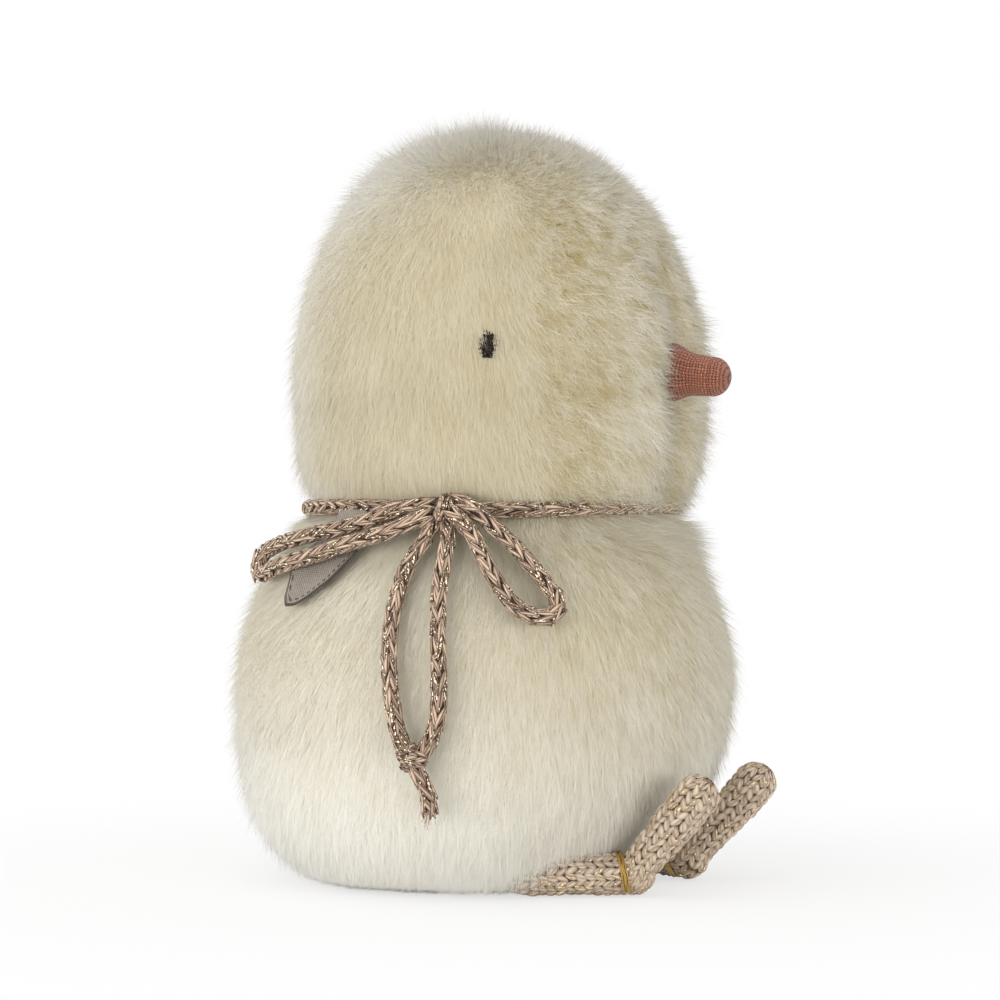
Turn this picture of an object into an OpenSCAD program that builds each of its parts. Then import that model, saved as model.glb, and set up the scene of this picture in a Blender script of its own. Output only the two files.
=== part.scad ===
// Plush chick with a wind-up hop motor inside: it sits on a flat base and faces -Y.
// The origin is the centre of the base plate's underside, with +Z up and sizes in millimetres.

/* [Body] */
// Largest radius of the stuffed body
body_r = 47.5; // [46:0.5:49]
// Height of the body's widest ring above the floor
body_widest_z = 33; // [30:0.5:36]
// Radius where the body turns under at the hem
hem_r = 34; // [33:0.5:36]
// Height of the hem above the floor
hem_z = 0.5; // [0.4:0.1:0.8]
// Radius of the shoulders under the neck
shoulder_r = 35; // [34.5:0.1:36]
// Height of the shoulders
shoulder_z = 68; // [66:0.5:68]
// How far the body's axis stands in front of the base's centre
body_lead = 3; // [2:0.5:4]
// Radius of the round that tucks the belly under in front
tuck_r = 53.5; // [53:0.5:56]
// Height of that round's centre
tuck_z = 43.5; // [42:0.5:44]
// How far that round's centre stands behind the base's centre
tuck_back = 2; // [1:0.5:3]
// Thickness of the fur cloth, with its pile
skin_t = 2; // [1.5:0.25:2.5]

/* [Head] */
// Largest radius of the head
head_r = 39; // [38:0.5:41]
// Height of the head's widest ring
head_widest_z = 95; // [92:0.5:98]
// Radius of the head at the jaw, above the neck
jaw_r = 35; // [34.5:0.1:36]
// Height of the jaw
jaw_z = 72; // [72:0.25:74]
// Height of the crown
head_top = 141; // [138:0.5:146]
// How far the head's axis stands in front of the base's centre
head_lead = 6; // [5:0.5:7]
// Radius of the drawn-in neck
neck_r = 33; // [32:0.25:33.5]
// Radius of the hollow between the cheeks that holds the beak
dimple_r = 12; // [10:0.5:14]
// Depth of that hollow
dimple_depth = 3.5; // [2.5:0.25:4.5]

/* [Beak and eyes] */
// Length of the beak from the bottom of its hollow
beak_len = 11.3; // [9:0.1:14]
// Radius of the beak
beak_r = 4; // [3.5:0.1:4.5]
// Radius of the beak's flared root
beak_root_r = 5.6; // [5:0.1:6.5]
// Height of the beak
beak_z = 95; // [90:0.5:98]
// How far the beak droops, in degrees
beak_droop = 6; // [0:1:12]
// Angle of each eye from straight ahead
eye_turn = 68; // [60:1:75]
// Height of the eyes
eye_z = 99; // [94:0.5:104]
// Radius of one embroidered knot of an eye
eye_knot_r = 1.2; // [1:0.05:1.5]
// Spacing of the knots of an eye
eye_step = 1.4; // [1:0.1:1.6]

/* [Legs] */
// Radius of a knitted leg at the hip
leg_r = 3.7; // [3.3:0.1:4]
// Sideways distance of a hip from the middle
hip_x = 24; // [23:0.5:25]
// Distance of a hip in front of the base's centre
hip_y = 20; // [19:0.5:22]
// Sideways distance of an ankle from the middle
ankle_x = 13.5; // [12:0.25:15]
// Distance of an ankle in front of the base's centre
ankle_y = 39; // [38:0.5:41]
// Radius of the heel inside the ankle
heel_r = 3.5; // [3.2:0.1:3.6]
// Radius of the rounded toe
toe_r = 3.9; // [3.6:0.1:4.2]
// Length of a foot from the ankle to the toe
foot_len = 23.4; // [20:0.2:26]
// Slope of a resting foot above the floor, in degrees
foot_rise = 48; // [44:1:50]
// Turn of a foot outwards, in degrees
foot_splay = 6; // [0:1:10]
// Room round the heel for the ankle's bend
ankle_gap = 0.8; // [0.7:0.05:1]
// Radius of the ankle's gold thread
thread_r = 0.3; // [0.2:0.05:0.4]

/* [Bow and label] */
// Radius of the knitted cord
cord_r = 1.6; // [1.5:0.05:1.7]
// Angle of the bow from straight ahead, towards the right side
bow_turn = 78; // [76:1:80]
// Radius of the bow's knot
knot_r = 3; // [2.6:0.1:3.1]
// Half height of the bow's knot
knot_half = 2.6; // [2.2:0.1:2.7]
// Length of the hanging label
label_len = 20; // [17:0.5:20]
// Width of the hanging label
label_w = 16; // [12:0.5:16]
// Thickness of the folded label
label_t = 0.8; // [0.6:0.1:1]

/* [Base and motor case] */
// Radius of the base plate
base_r = 26.5; // [26:0.25:27]
// Thickness of the base plate
base_t = 2; // [2:0.1:2.4]
// Wall of the motor cover
cover_wall = 1.2; // [1:0.1:1.4]
// Half depth of the motor plates, front to back
plate_half_y = 17; // [16.8:0.1:17]
// Gap between the two motor plates
plate_gap = 13.6; // [13.2:0.2:14]
// Thickness of a motor plate
plate_t = 1.2; // [1:0.1:1.4]
// Radius of a frame pillar
pillar_r = 1.8; // [1.6:0.1:1.9]
// Radius of a screw's shank
screw_r = 0.9; // [0.8:0.05:1]
// Radius of a screw's head
screw_head_r = 2; // [1.8:0.1:2.1]
// Height of a screw's head
screw_head_h = 1.2; // [1:0.1:1.3]

/* [Wheel train] */
// Gear module
gear_m = 0.8; // [0.78:0.01:0.81]
// Teeth of the great wheel
great_teeth = 40; // [40:1:41]
// Teeth of the second wheel
second_teeth = 30; // [30:1:31]
// Teeth of each pinion
pinion_teeth = 12; // [12:1:12]
// Thickness of a wheel
wheel_t = 1.6; // [1.2:0.1:1.6]
// Thickness of a pinion
pinion_t = 2; // [1.8:0.1:2]
// Radius of the winding arbor
arbor_r = 1.8; // [1.6:0.05:1.8]
// Radius of the other arbors
axle_r = 1.2; // [1.1:0.05:1.3]
// Width of the mainspring's strip
spring_w = 5; // [4:0.25:5]
// Thickness of the mainspring's strip
spring_t = 0.5; // [0.3:0.05:0.6]
// Step from one turn of the mainspring to the next
spring_step = 1.6; // [1.4:0.05:1.65]
// Turns of the mainspring
spring_turns = 6.5; // [5:0.5:6.5]
// Outer radius of the ratchet wheel
ratchet_r = 6; // [5.5:0.1:6]
// Depth of a ratchet tooth
ratchet_depth = 1; // [0.8:0.1:1]
// Teeth of the ratchet wheel
ratchet_teeth = 16; // [16:1:16]
// Thickness of the ratchet wheel and the click
ratchet_t = 1.2; // [1:0.1:1.2]

/* [Hop drive and key] */
// Half distance between the crank arbors, front to back
crank_y = 11.5; // [11.2:0.1:11.5]
// Height of the crank arbors
crank_z = 9; // [9:0.25:9.5]
// Throw of the crank pins
crank_throw = 2.5; // [2:0.1:2.5]
// Radius of a crank disc
crank_r = 4; // [3.8:0.1:4.2]
// Thickness of a crank disc
crank_t = 2; // [1.6:0.1:2]
// Radius of a crank pin
pin_r = 1; // [0.9:0.05:1.1]
// Thickness of a hop foot's plate
hop_t = 2; // [1.6:0.1:2]
// Width of a hop foot's sole
sole_w = 4.6; // [4:0.1:4.6]
// Height of a resting sole above the floor
sole_z = 0.6; // [0.4:0.1:0.8]
// Thickness of a sole
sole_t = 1.8; // [1.4:0.1:2.2]
// Radius of the key's wings
key_wing_r = 7; // [6:0.25:8]
// Thickness of the key's wings
key_t = 1.8; // [1.4:0.1:2.2]
// Radius of the key's hub
key_hub_r = 2.8; // [2.6:0.1:3.2]

/* [Hidden] */
$fn = 64;
// Running clearance round a turning shaft
run_gap = 0.05;
// Clearance round a fixed fit
fit_gap = 0.02;
// Clearance between soft solids and what they lie against
soft_gap = 0.1;
// Side clearance between turning pieces
side_gap = 0.4;
// Overlap that a cutting solid has past a face
past = 1;

// Form of the plush: powers of the belly, the shoulders, the jaw and the crown
belly_power = 3;
shoulder_power = 2.2;
jaw_power = 4;
crown_power = 2.25;
form_steps = 10;
neck_lead = (body_lead + head_lead) / 2;
neck_sink = 4;
cord_z = (shoulder_z + jaw_z) / 2;

// Beak: flare length, inner root and tip rounding
beak_flare_len = 4;
beak_sink = 3;
beak_tip_r = 3.2;

// Sideways lean of an eye's row of knots
eye_lean = 0.4;

// Legs
leg_z = leg_r + soft_gap;
stitch_back = 2.7;
stitch_open = 36;
instep_r = heel_r - soft_gap * 2;

// Motor, side to side
plate_in = plate_gap / 2;
plate_out = plate_in + plate_t;
crank_in = plate_out + side_gap;
crank_out = crank_in + crank_t;
hop_in = crank_out + side_gap;
hop_out = hop_in + hop_t;
sole_out = hop_in + sole_w;
cap_in = hop_out + side_gap - soft_gap;
cap_t = 0.8;
cap_r = 1.8;
cover_in_x = max(sole_out, cap_in + cap_t) + side_gap * 2;
cover_out_x = cover_in_x + cover_wall;
great_x = -plate_in + side_gap * 1.5;
second_pinion_x = great_x + (wheel_t - pinion_t) / 2;
ratchet_x = great_x + wheel_t + side_gap / 2;
spring_x = ratchet_x + ratchet_t + side_gap * 1.5;
crank_pinion_x = plate_in - side_gap * 3 - pinion_t;
second_wheel_x = crank_pinion_x + (pinion_t - wheel_t) / 2;

// Motor, front to back and upwards
hop_end = 3;
hop_half = crank_y + hop_end;
cover_in_y = max(plate_half_y, hop_half + crank_throw) + side_gap + soft_gap * 2;
cover_out_y = cover_in_y + cover_wall;
ear_len = 5.2;
ear_half = 4;
ear_t = 2;
ear_screw_y = cover_out_y + ear_len / 2;
tab_half = 5;
tab_z = 0.6;
train_gap = gear_m * (great_teeth + pinion_teeth) / 2;
hop_gap = gear_m * (second_teeth + pinion_teeth) / 2;
second_z = crank_z + sqrt(hop_gap * hop_gap - crank_y * crank_y);
key_z = second_z + train_gap;
tip_add = 0.9 * gear_m;
root_cut = 1.15 * gear_m;
great_tip_r = gear_m * great_teeth / 2 + tip_add;
plate_top = key_z + great_tip_r + soft_gap;
cover_top = plate_top + side_gap;
pillar_low_y = 15;
pillar_high_y = 14.5;
pillar_rise = 3;
pillar_edge = 0.6;
pillar_low = [pillar_low_y, second_z + pillar_rise];
pillar_high = [pillar_high_y, plate_top - pillar_r - pillar_edge];
pillars = [for (s = [-1, 1], p = [pillar_low, pillar_high]) [s * p[0], p[1]]];
pillar_hole = 4;

// Teeth: pressure angle and the play that each flank gives up at the pitch circle
pressure = 25;
flank_play = 0.035;
front_mesh = atan2(crank_z - second_z, -crank_y);
rear_mesh = atan2(crank_z - second_z, crank_y);
second_wheel_phase = 6;

// Click
click_r = 1.6;
click_post_r = 0.8;
click_pivot = [7.3, 6.1];
click_tip_gap = 0.12;

// Key and eyelet
eyelet_bore = arbor_r + 0.3;
eyelet_r = eyelet_bore + 1.1;
eyelet_flange_r = eyelet_r + 1.8;
eyelet_t = 0.8;
eyelet_x = body_r + soft_gap;
key_x = eyelet_x + eyelet_t + side_gap;
key_hub_len = 9;
key_bore_len = 7;
key_wing_gap = 7.5;
key_wing_hole = 2.6;

// Routes of the bow's cord, from the knot outwards
rear_loop_route = [
    [-37.6, -8.4, 70.8], [-38.6, -4, 69.8], [-39.8, 0, 68.2], [-40.4, 4, 67],
    [-40.2, 8, 66.2], [-39.2, 12.5, 65.4], [-37.2, 17.5, 64.4], [-34.4, 22.5, 63.4],
    [-31.2, 27, 62], [-29.6, 29.4, 60], [-30.6, 28.8, 58], [-34, 25.6, 58],
    [-37.8, 20.9, 59.5], [-40.1, 15.1, 60.8], [-41.6, 9, 62.3], [-42.3, 3.1, 64],
    [-41.4, -2.6, 65.6], [-39.7, -7.9, 67.8]];
front_loop_route = [
    [-36.4, -16.3, 71.3], [-36.2, -18.6, 69.4], [-35.6, -21.4, 66.8], [-35, -24.6, 64],
    [-34.9, -27.6, 61], [-34.9, -30.4, 57.9], [-34.7, -32.8, 55], [-35.1, -33.8, 52.6],
    [-36.6, -32.9, 51], [-38.2, -30.6, 51.2], [-39.5, -27.8, 52.8], [-40, -25.2, 55.5],
    [-39.7, -22.8, 58.8], [-39.1, -20.6, 62.4], [-38.6, -18.4, 65.8], [-38.7, -16, 68.4]];
rear_tail_route = [
    [-38, -10.3, 66.4], [-39.8, -10.3, 65], [-40.9, -9.3, 62.8], [-42.1, -8, 60.4],
    [-43.5, -7.5, 57.6], [-44.9, -7.1, 54.8], [-46.1, -6.9, 51.8], [-47.2, -6.9, 48.6],
    [-48.1, -7.1, 45.4], [-48.7, -7.4, 42], [-49, -7.8, 38.6], [-49.1, -8.4, 35.2],
    [-49.3, -9.2, 32], [-49.4, -10.1, 28.8]];
front_tail_route = [
    [-37.4, -13.7, 66.2], [-39, -14.2, 65], [-40.2, -14.4, 63], [-41.4, -14.4, 60.2],
    [-42.8, -14.5, 57.2], [-44, -14.8, 54.2], [-45.1, -15.2, 51.2], [-46, -15.6, 48],
    [-46.7, -16, 44.8], [-47.2, -16.4, 41.4], [-47.5, -16.6, 38], [-47.8, -16.6, 34.6],
    [-48.2, -16, 31.2], [-48.6, -14.8, 28.4]];
stub_route = [
    [-49.1, -13.4, 23.6], [-48.7, -14.2, 22], [-48, -14.7, 20.4], [-47.4, -14.6, 18.6],
    [-46.8, -14.2, 16.8]];
cord_sides = 8;
tail_knot_at = [-49.8, -12.4, 26.4];
tail_knot_r = 2.9;

// Radius of the body at height z: full at the widest ring, falling by a power to the hem and the shoulders
function body_radius(z) = z < body_widest_z
    ? body_r - (body_r - hem_r) * pow((body_widest_z - z) / (body_widest_z - hem_z), belly_power)
    : body_r - (body_r - shoulder_r)
        * pow((z - body_widest_z) / (shoulder_z - body_widest_z), shoulder_power);

// Half outline of the body, drawn in by inset
function body_outline(inset) = let (low = hem_z + inset, high = shoulder_z - inset) concat(
    [[0, low]],
    [for (i = [0 : form_steps]) let (z = low + (body_widest_z - low) * i / form_steps)
        [body_radius(z) - inset, z]],
    [for (i = [1 : form_steps]) let (z = body_widest_z + (high - body_widest_z) * i / form_steps)
        [body_radius(z) - inset, z]],
    [[0, high]]);

// Radius of the head at height z, up to the widest ring
function jaw_radius(z) = head_r - (head_r - jaw_r)
    * pow((head_widest_z - z) / (head_widest_z - jaw_z), jaw_power);

// Half outline of the head, drawn in by inset and open downwards to low
function head_outline(inset, low) = concat(
    [[0, low]],
    [[jaw_r - inset, low]],
    [for (i = [1 : form_steps]) let (z = jaw_z + (head_widest_z - jaw_z) * i / form_steps)
        [jaw_radius(z) - inset, z]],
    [for (i = [1 : form_steps]) let (a = 90 * i / form_steps) [
        i == form_steps ? 0 : (head_r - inset) * pow(cos(a), 2 / crown_power),
        head_widest_z + (head_top - inset - head_widest_z) * sin(a)]]);

// The stuffed body with its neck, drawn in by inset; rise lifts the top of the neck
module body_form(inset, rise = 0) {
    intersection() {
        translate([0, -body_lead, 0])
            rotate_extrude()
                polygon(body_outline(inset));
        translate([0, tuck_back, tuck_z])
            sphere(tuck_r - inset);
    }
    translate([0, -neck_lead, shoulder_z - neck_sink])
        cylinder(r = neck_r - inset, h = neck_sink + jaw_z - shoulder_z - soft_gap + rise);
}

// The head's form, drawn in by inset, with the hollow for the beak; low is its lower face
module head_form(inset, low = jaw_z) {
    difference() {
        translate([0, -head_lead, 0])
            rotate_extrude()
                polygon(head_outline(inset, low));
        translate([0, -head_lead - head_r - dimple_r + dimple_depth, beak_z])
            sphere(dimple_r + inset);
    }
}

// A tube of the cord swept along a route, with a ring of corners at each of its points
function unit(v) = v / norm(v);
function tangent(route, i) = unit(route[min(i + 1, len(route) - 1)] - route[max(i - 1, 0)]);
function ring(route, i) = let (
    t = tangent(route, i),
    u = unit(cross(t, [1, 0.2, 0.1])),
    v = cross(t, u)) [for (k = [0 : cord_sides - 1]) let (a = 360 * k / cord_sides)
        route[i] + cord_r * (cos(a) * u + sin(a) * v)];
function flat_list(lists) = [for (list = lists) for (item = list) item];

module cord_tube(route) {
    n = len(route);
    last = n - 1;
    points = concat(flat_list([for (i = [0 : last]) ring(route, i)]), [route[0], route[last]]);
    sides = flat_list([for (i = [0 : last - 1]) flat_list([for (k = [0 : cord_sides - 1])
        let (a = i * cord_sides + k, b = i * cord_sides + (k + 1) % cord_sides)
            [[a, a + cord_sides, b], [b, a + cord_sides, b + cord_sides]]])]);
    starts = [for (k = [0 : cord_sides - 1]) [n * cord_sides, k, (k + 1) % cord_sides]];
    ends = [for (k = [0 : cord_sides - 1])
        [n * cord_sides + 1, last * cord_sides + (k + 1) % cord_sides, last * cord_sides + k]];
    polyhedron(points, concat(sides, starts, ends));
}

// Least gap of a looped cord to itself, measured between points that are not neighbours along it
function loop_gap(route) = min([for (i = [0 : len(route) - 1]) for (j = [i + 4 : 1 : len(route) - 1])
    norm(route[i] - route[j])]) - 2 * cord_r;
echo(rear_loop_gap = loop_gap(rear_loop_route), front_loop_gap = loop_gap(front_loop_route));

// A shape drawn in the front-to-back plane and thickened along +X from x
module along_x(x, t) {
    translate([x, 0, 0])
        rotate([90, 0, 90])
            linear_extrude(t)
                children();
}

// A round rod along X at [y, z], from x to x + len
module rod_x(y, z, r, x, len) {
    translate([x, y, z])
        rotate([0, 90, 0])
            cylinder(r = r, h = len);
}

// Involute teeth: half the angle that a tooth of a wheel fills at radius r
function roll(base, r) = let (a = acos(min(1, base / r))) tan(a) * 180 / PI - a;
function half_tooth(teeth, r) = let (pitch = gear_m * teeth / 2, base = pitch * cos(pressure))
    90 / teeth + roll(base, pitch) - roll(base, max(r, base)) - flank_play / pitch * 180 / PI;
function flank(teeth) = let (pitch = gear_m * teeth / 2, base = pitch * cos(pressure))
    [pitch - root_cut, max(base, pitch - root_cut + 0.1), pitch, pitch + tip_add / 2, pitch + tip_add];
function at_angle(r, a) = r * [cos(a), sin(a)];

module gear_2d(teeth, phase, bore) {
    radii = flank(teeth);
    last = len(radii) - 1;
    difference() {
        polygon(flat_list([for (i = [0 : teeth - 1]) let (c = phase + 360 * i / teeth) concat(
            [for (k = [0 : last]) at_angle(radii[k], c - half_tooth(teeth, radii[k]))],
            [for (k = [last : -1 : 0]) at_angle(radii[k], c + half_tooth(teeth, radii[k]))])]));
        circle(bore);
    }
}

// Phase that puts a pinion in mesh with a wheel whose first tooth is at phase, seen along the line of centres
function mesh_phase(phase, teeth, line) =
    line + 180 - (phase - line) * teeth / pinion_teeth - 180 / pinion_teeth;

// Room that the plush leaves round the motor cover, its ears and their screws
module motor_room() {
    translate([-cover_out_x - soft_gap, -cover_out_y - soft_gap, -past])
        cube([2 * (cover_out_x + soft_gap), 2 * (cover_out_y + soft_gap),
            cover_top + cover_wall + soft_gap + past]);
    translate([-ear_half - soft_gap, -cover_out_y - ear_len - soft_gap, -past])
        cube([2 * (ear_half + soft_gap), 2 * (cover_out_y + ear_len + soft_gap),
            base_t + ear_t + screw_head_h + soft_gap + past]);
}

module body_skin() {
    color("#ece3c4")
    difference() {
        body_form(0);
        body_form(skin_t, past);
        motor_room();
        translate([0, 0, -past])
            cylinder(r = base_r + soft_gap, h = hem_z + skin_t + 2 * past);
        rod_x(0, key_z, eyelet_r + soft_gap, 0, body_r + past);
    }
}

module body_stuffing() {
    color("#f6f4ee")
    difference() {
        body_form(skin_t + soft_gap);
        motor_room();
        rod_x(0, key_z, eyelet_r + soft_gap, 0, body_r + past);
    }
}

module head_skin() {
    color("#ece3c4")
    difference() {
        head_form(0);
        head_form(skin_t, jaw_z - past);
    }
}

module head_stuffing() {
    color("#f6f4ee")
    head_form(skin_t + soft_gap);
}

// Half outline of the beak along its axis
function beak_outline() = concat(
    [[0, -beak_sink], [beak_root_r, -beak_sink]],
    [for (i = [0 : 4]) let (s = beak_flare_len * i / 4)
        [beak_r + (beak_root_r - beak_r) * pow(1 - s / beak_flare_len, 2), s]],
    [for (i = [0 : 6]) let (a = 90 * i / 6)
        [i == 6 ? 0 : beak_r * pow(cos(a), 0.8), beak_len - beak_tip_r + beak_tip_r * sin(a)]]);

module beak() {
    color("#9c6450")
    difference() {
        translate([0, -head_lead - head_r + dimple_depth, beak_z])
            rotate([90 + beak_droop, 0, 0])
                rotate_extrude()
                    polygon(beak_outline());
        head_form(-soft_gap);
    }
}

// An eye is a small cluster of domed thread knots that lies on the fur
module eye(side) {
    color("#2b2622")
    translate([0, -head_lead, eye_z])
        rotate([0, 0, side * eye_turn])
            for (k = [-1 : 1])
                translate([eye_lean * k * eye_step, -head_r - soft_gap, k * eye_step])
                    rotate([90, 0, 0])
                        rotate_extrude()
                            polygon(concat([[0, 0]], [for (i = [0 : 5]) let (a = 18 * i)
                                [i == 5 ? 0 : eye_knot_r * cos(a), eye_knot_r * sin(a)]]));
}

module right_eye() {
    eye(-1);
}

module left_eye() {
    eye(1);
}

// Heading of a leg from the hip to the ankle, and its length
leg_dx = ankle_x - hip_x;
leg_dy = hip_y - ankle_y;
leg_len = norm([leg_dx, leg_dy]);

// Moves a shape drawn along +Z from a leg's hip, so that it runs to the ankle
module on_leg(side) {
    translate([side * hip_x, -hip_y, leg_z])
        rotate([0, 90, atan2(leg_dy, side * leg_dx)])
            children();
}

module leg(side) {
    color("#c9b79c")
    difference() {
        on_leg(side)
            rotate_extrude()
                polygon(concat(
                    [[0, 0]],
                    [for (i = [0 : form_steps]) let (t = i / form_steps)
                        [leg_r - (leg_r - heel_r) * t * t, leg_len * t]],
                    [[0, leg_len]]));
        translate([0, tuck_back, tuck_z])
            sphere(tuck_r + soft_gap, $fn = 200);
        translate([side * ankle_x, -ankle_y, leg_z])
            sphere(heel_r + ankle_gap);
    }
}

module right_leg() {
    leg(-1);
}

module left_leg() {
    leg(1);
}

// A foot swells from the heel's ball, which turns in the ankle, to a round toe
module foot(side) {
    color("#c9b79c")
    translate([side * ankle_x, -ankle_y, leg_z]) {
        sphere(heel_r);
        rotate([0, 90 - foot_rise, -90 + side * foot_splay])
            rotate_extrude()
                polygon(concat(
                    [[0, 0]],
                    [for (i = [0 : form_steps]) let (t = i / form_steps)
                        [instep_r + (toe_r - instep_r) * sin(90 * t), (foot_len - toe_r) * t]],
                    [for (i = [1 : 6]) let (a = 15 * i)
                        [i == 6 ? 0 : toe_r * cos(a), foot_len - toe_r + toe_r * sin(a)]]));
    }
}

module right_foot() {
    foot(-1);
}

module left_foot() {
    foot(1);
}

// A turn of gold thread over the leg just behind the ankle, open where the leg lies on the floor
module ankle_stitch(side) {
    color("#a97f2c")
    on_leg(side)
        translate([0, 0, leg_len - stitch_back])
            rotate([0, 0, stitch_open])
                rotate_extrude(angle = 360 - 2 * stitch_open)
                    translate([leg_r + thread_r, 0])
                        circle(thread_r, $fn = 24);
}

module right_ankle_stitch() {
    ankle_stitch(-1);
}

module left_ankle_stitch() {
    ankle_stitch(1);
}

// The cord lies in the neck and leaves a gap for the bow's knot
neck_cord_gap = 14;

module neck_cord() {
    color("#a08a74")
    translate([0, -neck_lead, cord_z])
        rotate([0, 0, -90 - bow_turn + neck_cord_gap / 2])
            rotate_extrude(angle = 360 - neck_cord_gap)
                translate([neck_r + cord_r + soft_gap / 2, 0])
                    circle(cord_r, $fn = 24);
}

module bow_knot() {
    color("#a08a74")
    translate([0, -neck_lead, cord_z])
        rotate([0, 0, -bow_turn])
            translate([0, -neck_r - cord_r - knot_r, 0])
                rotate_extrude()
                    polygon([for (i = [0 : 12]) let (a = -90 + 15 * i)
                        [i % 12 == 0 ? 0 : knot_r * cos(a), knot_half * sin(a)]]);
}

module bow_loop_rear() {
    color("#a08a74")
    cord_tube(rear_loop_route);
}

module bow_loop_front() {
    color("#a08a74")
    cord_tube(front_loop_route);
}

module bow_tail_rear() {
    color("#a08a74")
    cord_tube(rear_tail_route);
}

module bow_tail_front() {
    color("#a08a74")
    cord_tube(front_tail_route);
}

module tail_knot() {
    color("#a08a74")
    translate(tail_knot_at)
        sphere(tail_knot_r);
}

module tail_stub() {
    color("#a08a74")
    cord_tube(stub_route);
}

// The label is a ribbon that hangs from the neck cord and spreads to a rounded end under the rear loop.
// It lies against the shoulder, whose lean at its seat it takes.
label_azimuth = 160.6;
label_z = 59.2;
label_lift = 0.4;
label_seat_r = body_radius(label_z);
label_tilt = atan(body_radius(label_z - 0.5) - body_radius(label_z + 0.5));
label_above = 0.575;
// Its outline, as shares of the width to the front and of the length upwards
label_shape = [
    [-0.1, 0], [0.39, 0], [0.525, -0.405], [0.212, -0.725], [-0.225, -0.985], [-0.337, -1], [-0.412, -0.905],
    [-0.475, -0.565], [-0.088, -0.175]];

module label() {
    color("#8b7f70")
    translate([label_seat_r * cos(label_azimuth), label_seat_r * sin(label_azimuth) - body_lead, label_z])
        rotate([90 - label_tilt, 0, label_azimuth + 90])
            translate([0, 0, label_lift])
                linear_extrude(label_t)
                    polygon([for (p = label_shape) [p[0] * label_w, (p[1] + label_above) * label_len]]);
}

module base_plate() {
    color("#d9cfb4")
    difference() {
        cylinder(r = base_r, h = base_t);
        for (s = [-1, 1]) {
            translate([s * (hop_in + sole_out) / 2, 0, 0])
                cube([sole_out - hop_in + 2 * side_gap, 2 * (hop_half + crank_throw + side_gap), 4 * base_t],
                    center = true);
            translate([s * (plate_in + plate_out) / 2, 0, base_t])
                cube([plate_t + 2 * fit_gap, 2 * (tab_half + fit_gap), 2 * (base_t - tab_z + fit_gap)],
                    center = true);
            translate([0, s * ear_screw_y, tab_z - soft_gap])
                cylinder(r = screw_r + fit_gap, h = base_t);
        }
    }
}

module motor_cover() {
    color("#b9b3a6")
    difference() {
        union() {
            translate([-cover_out_x, -cover_out_y, base_t])
                cube([2 * cover_out_x, 2 * cover_out_y, cover_top + cover_wall - base_t]);
            translate([-ear_half, -cover_out_y - ear_len, base_t])
                cube([2 * ear_half, 2 * (cover_out_y + ear_len), ear_t]);
        }
        translate([-cover_in_x, -cover_in_y, base_t - past])
            cube([2 * cover_in_x, 2 * cover_in_y, cover_top - base_t + past]);
        for (s = [-1, 1])
            translate([0, s * ear_screw_y, 0])
                cylinder(r = screw_r + run_gap, h = base_t + ear_t + past);
        rod_x(0, key_z, eyelet_bore, 0, cover_out_x + past);
    }
}

module base_screws() {
    color("#c8c8c4")
    for (s = [-1, 1])
        translate([0, s * ear_screw_y, 0]) {
            translate([0, 0, tab_z])
                cylinder(r = screw_r, h = base_t + ear_t - tab_z + soft_gap);
            translate([0, 0, base_t + ear_t])
                cylinder(r = screw_head_r, h = screw_head_h);
        }
}

module motor_plate(x) {
    color("#c9c6bd")
    difference() {
        along_x(x, plate_t) {
            translate([-plate_half_y, base_t])
                square([2 * plate_half_y, plate_top - base_t]);
            translate([-tab_half, tab_z])
                square([2 * tab_half, base_t - tab_z + soft_gap]);
        }
        rod_x(0, key_z, arbor_r + run_gap, x - past, plate_t + 2 * past);
        rod_x(0, second_z, axle_r + run_gap, x - past, plate_t + 2 * past);
        for (s = [-1, 1])
            rod_x(s * crank_y, crank_z, axle_r + run_gap, x - past, plate_t + 2 * past);
        for (p = pillars)
            rod_x(p[0], p[1], screw_r + fit_gap, x - past, plate_t + 2 * past);
    }
}

module motor_plate_right() {
    motor_plate(-plate_out);
}

module motor_plate_left() {
    motor_plate(plate_in);
}

module frame_pillars() {
    color("#bdb8a8")
    for (p = pillars)
        difference() {
            rod_x(p[0], p[1], pillar_r, -plate_in, plate_gap);
            for (x = [-plate_in - past, plate_in - pillar_hole])
                rod_x(p[0], p[1], screw_r + fit_gap, x, pillar_hole + past);
        }
}

module frame_screws() {
    color("#c8c8c4")
    for (p = pillars, s = [0, 1])
        mirror([s, 0, 0]) {
            rod_x(p[0], p[1], screw_r, plate_in - pillar_hole + soft_gap, pillar_hole + plate_t);
            rod_x(p[0], p[1], screw_head_r, plate_out, screw_head_h);
        }
}

module winding_arbor() {
    color("#b8b4aa")
    rod_x(0, key_z, arbor_r, -plate_out, plate_out + key_x + key_bore_len - soft_gap);
}

// A hub with two round wings, each with a hole
module winding_key() {
    color("#c3b58a")
    difference() {
        union() {
            rod_x(0, key_z, key_hub_r, key_x, key_hub_len);
            translate([key_x + key_hub_len, key_t / 2, key_z])
                rotate([90, 0, 0])
                    linear_extrude(key_t)
                        difference() {
                            union() {
                                for (s = [-1, 1])
                                    translate([0, s * key_wing_gap])
                                        circle(key_wing_r);
                                translate([-key_hub_len / 3, -key_wing_gap])
                                    square([key_hub_len * 2 / 3, 2 * key_wing_gap]);
                            }
                            for (s = [-1, 1])
                                translate([0, s * key_wing_gap])
                                    circle(key_wing_hole);
                        }
        }
        rod_x(0, key_z, arbor_r + fit_gap, key_x - past, key_bore_len + past);
    }
}

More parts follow.
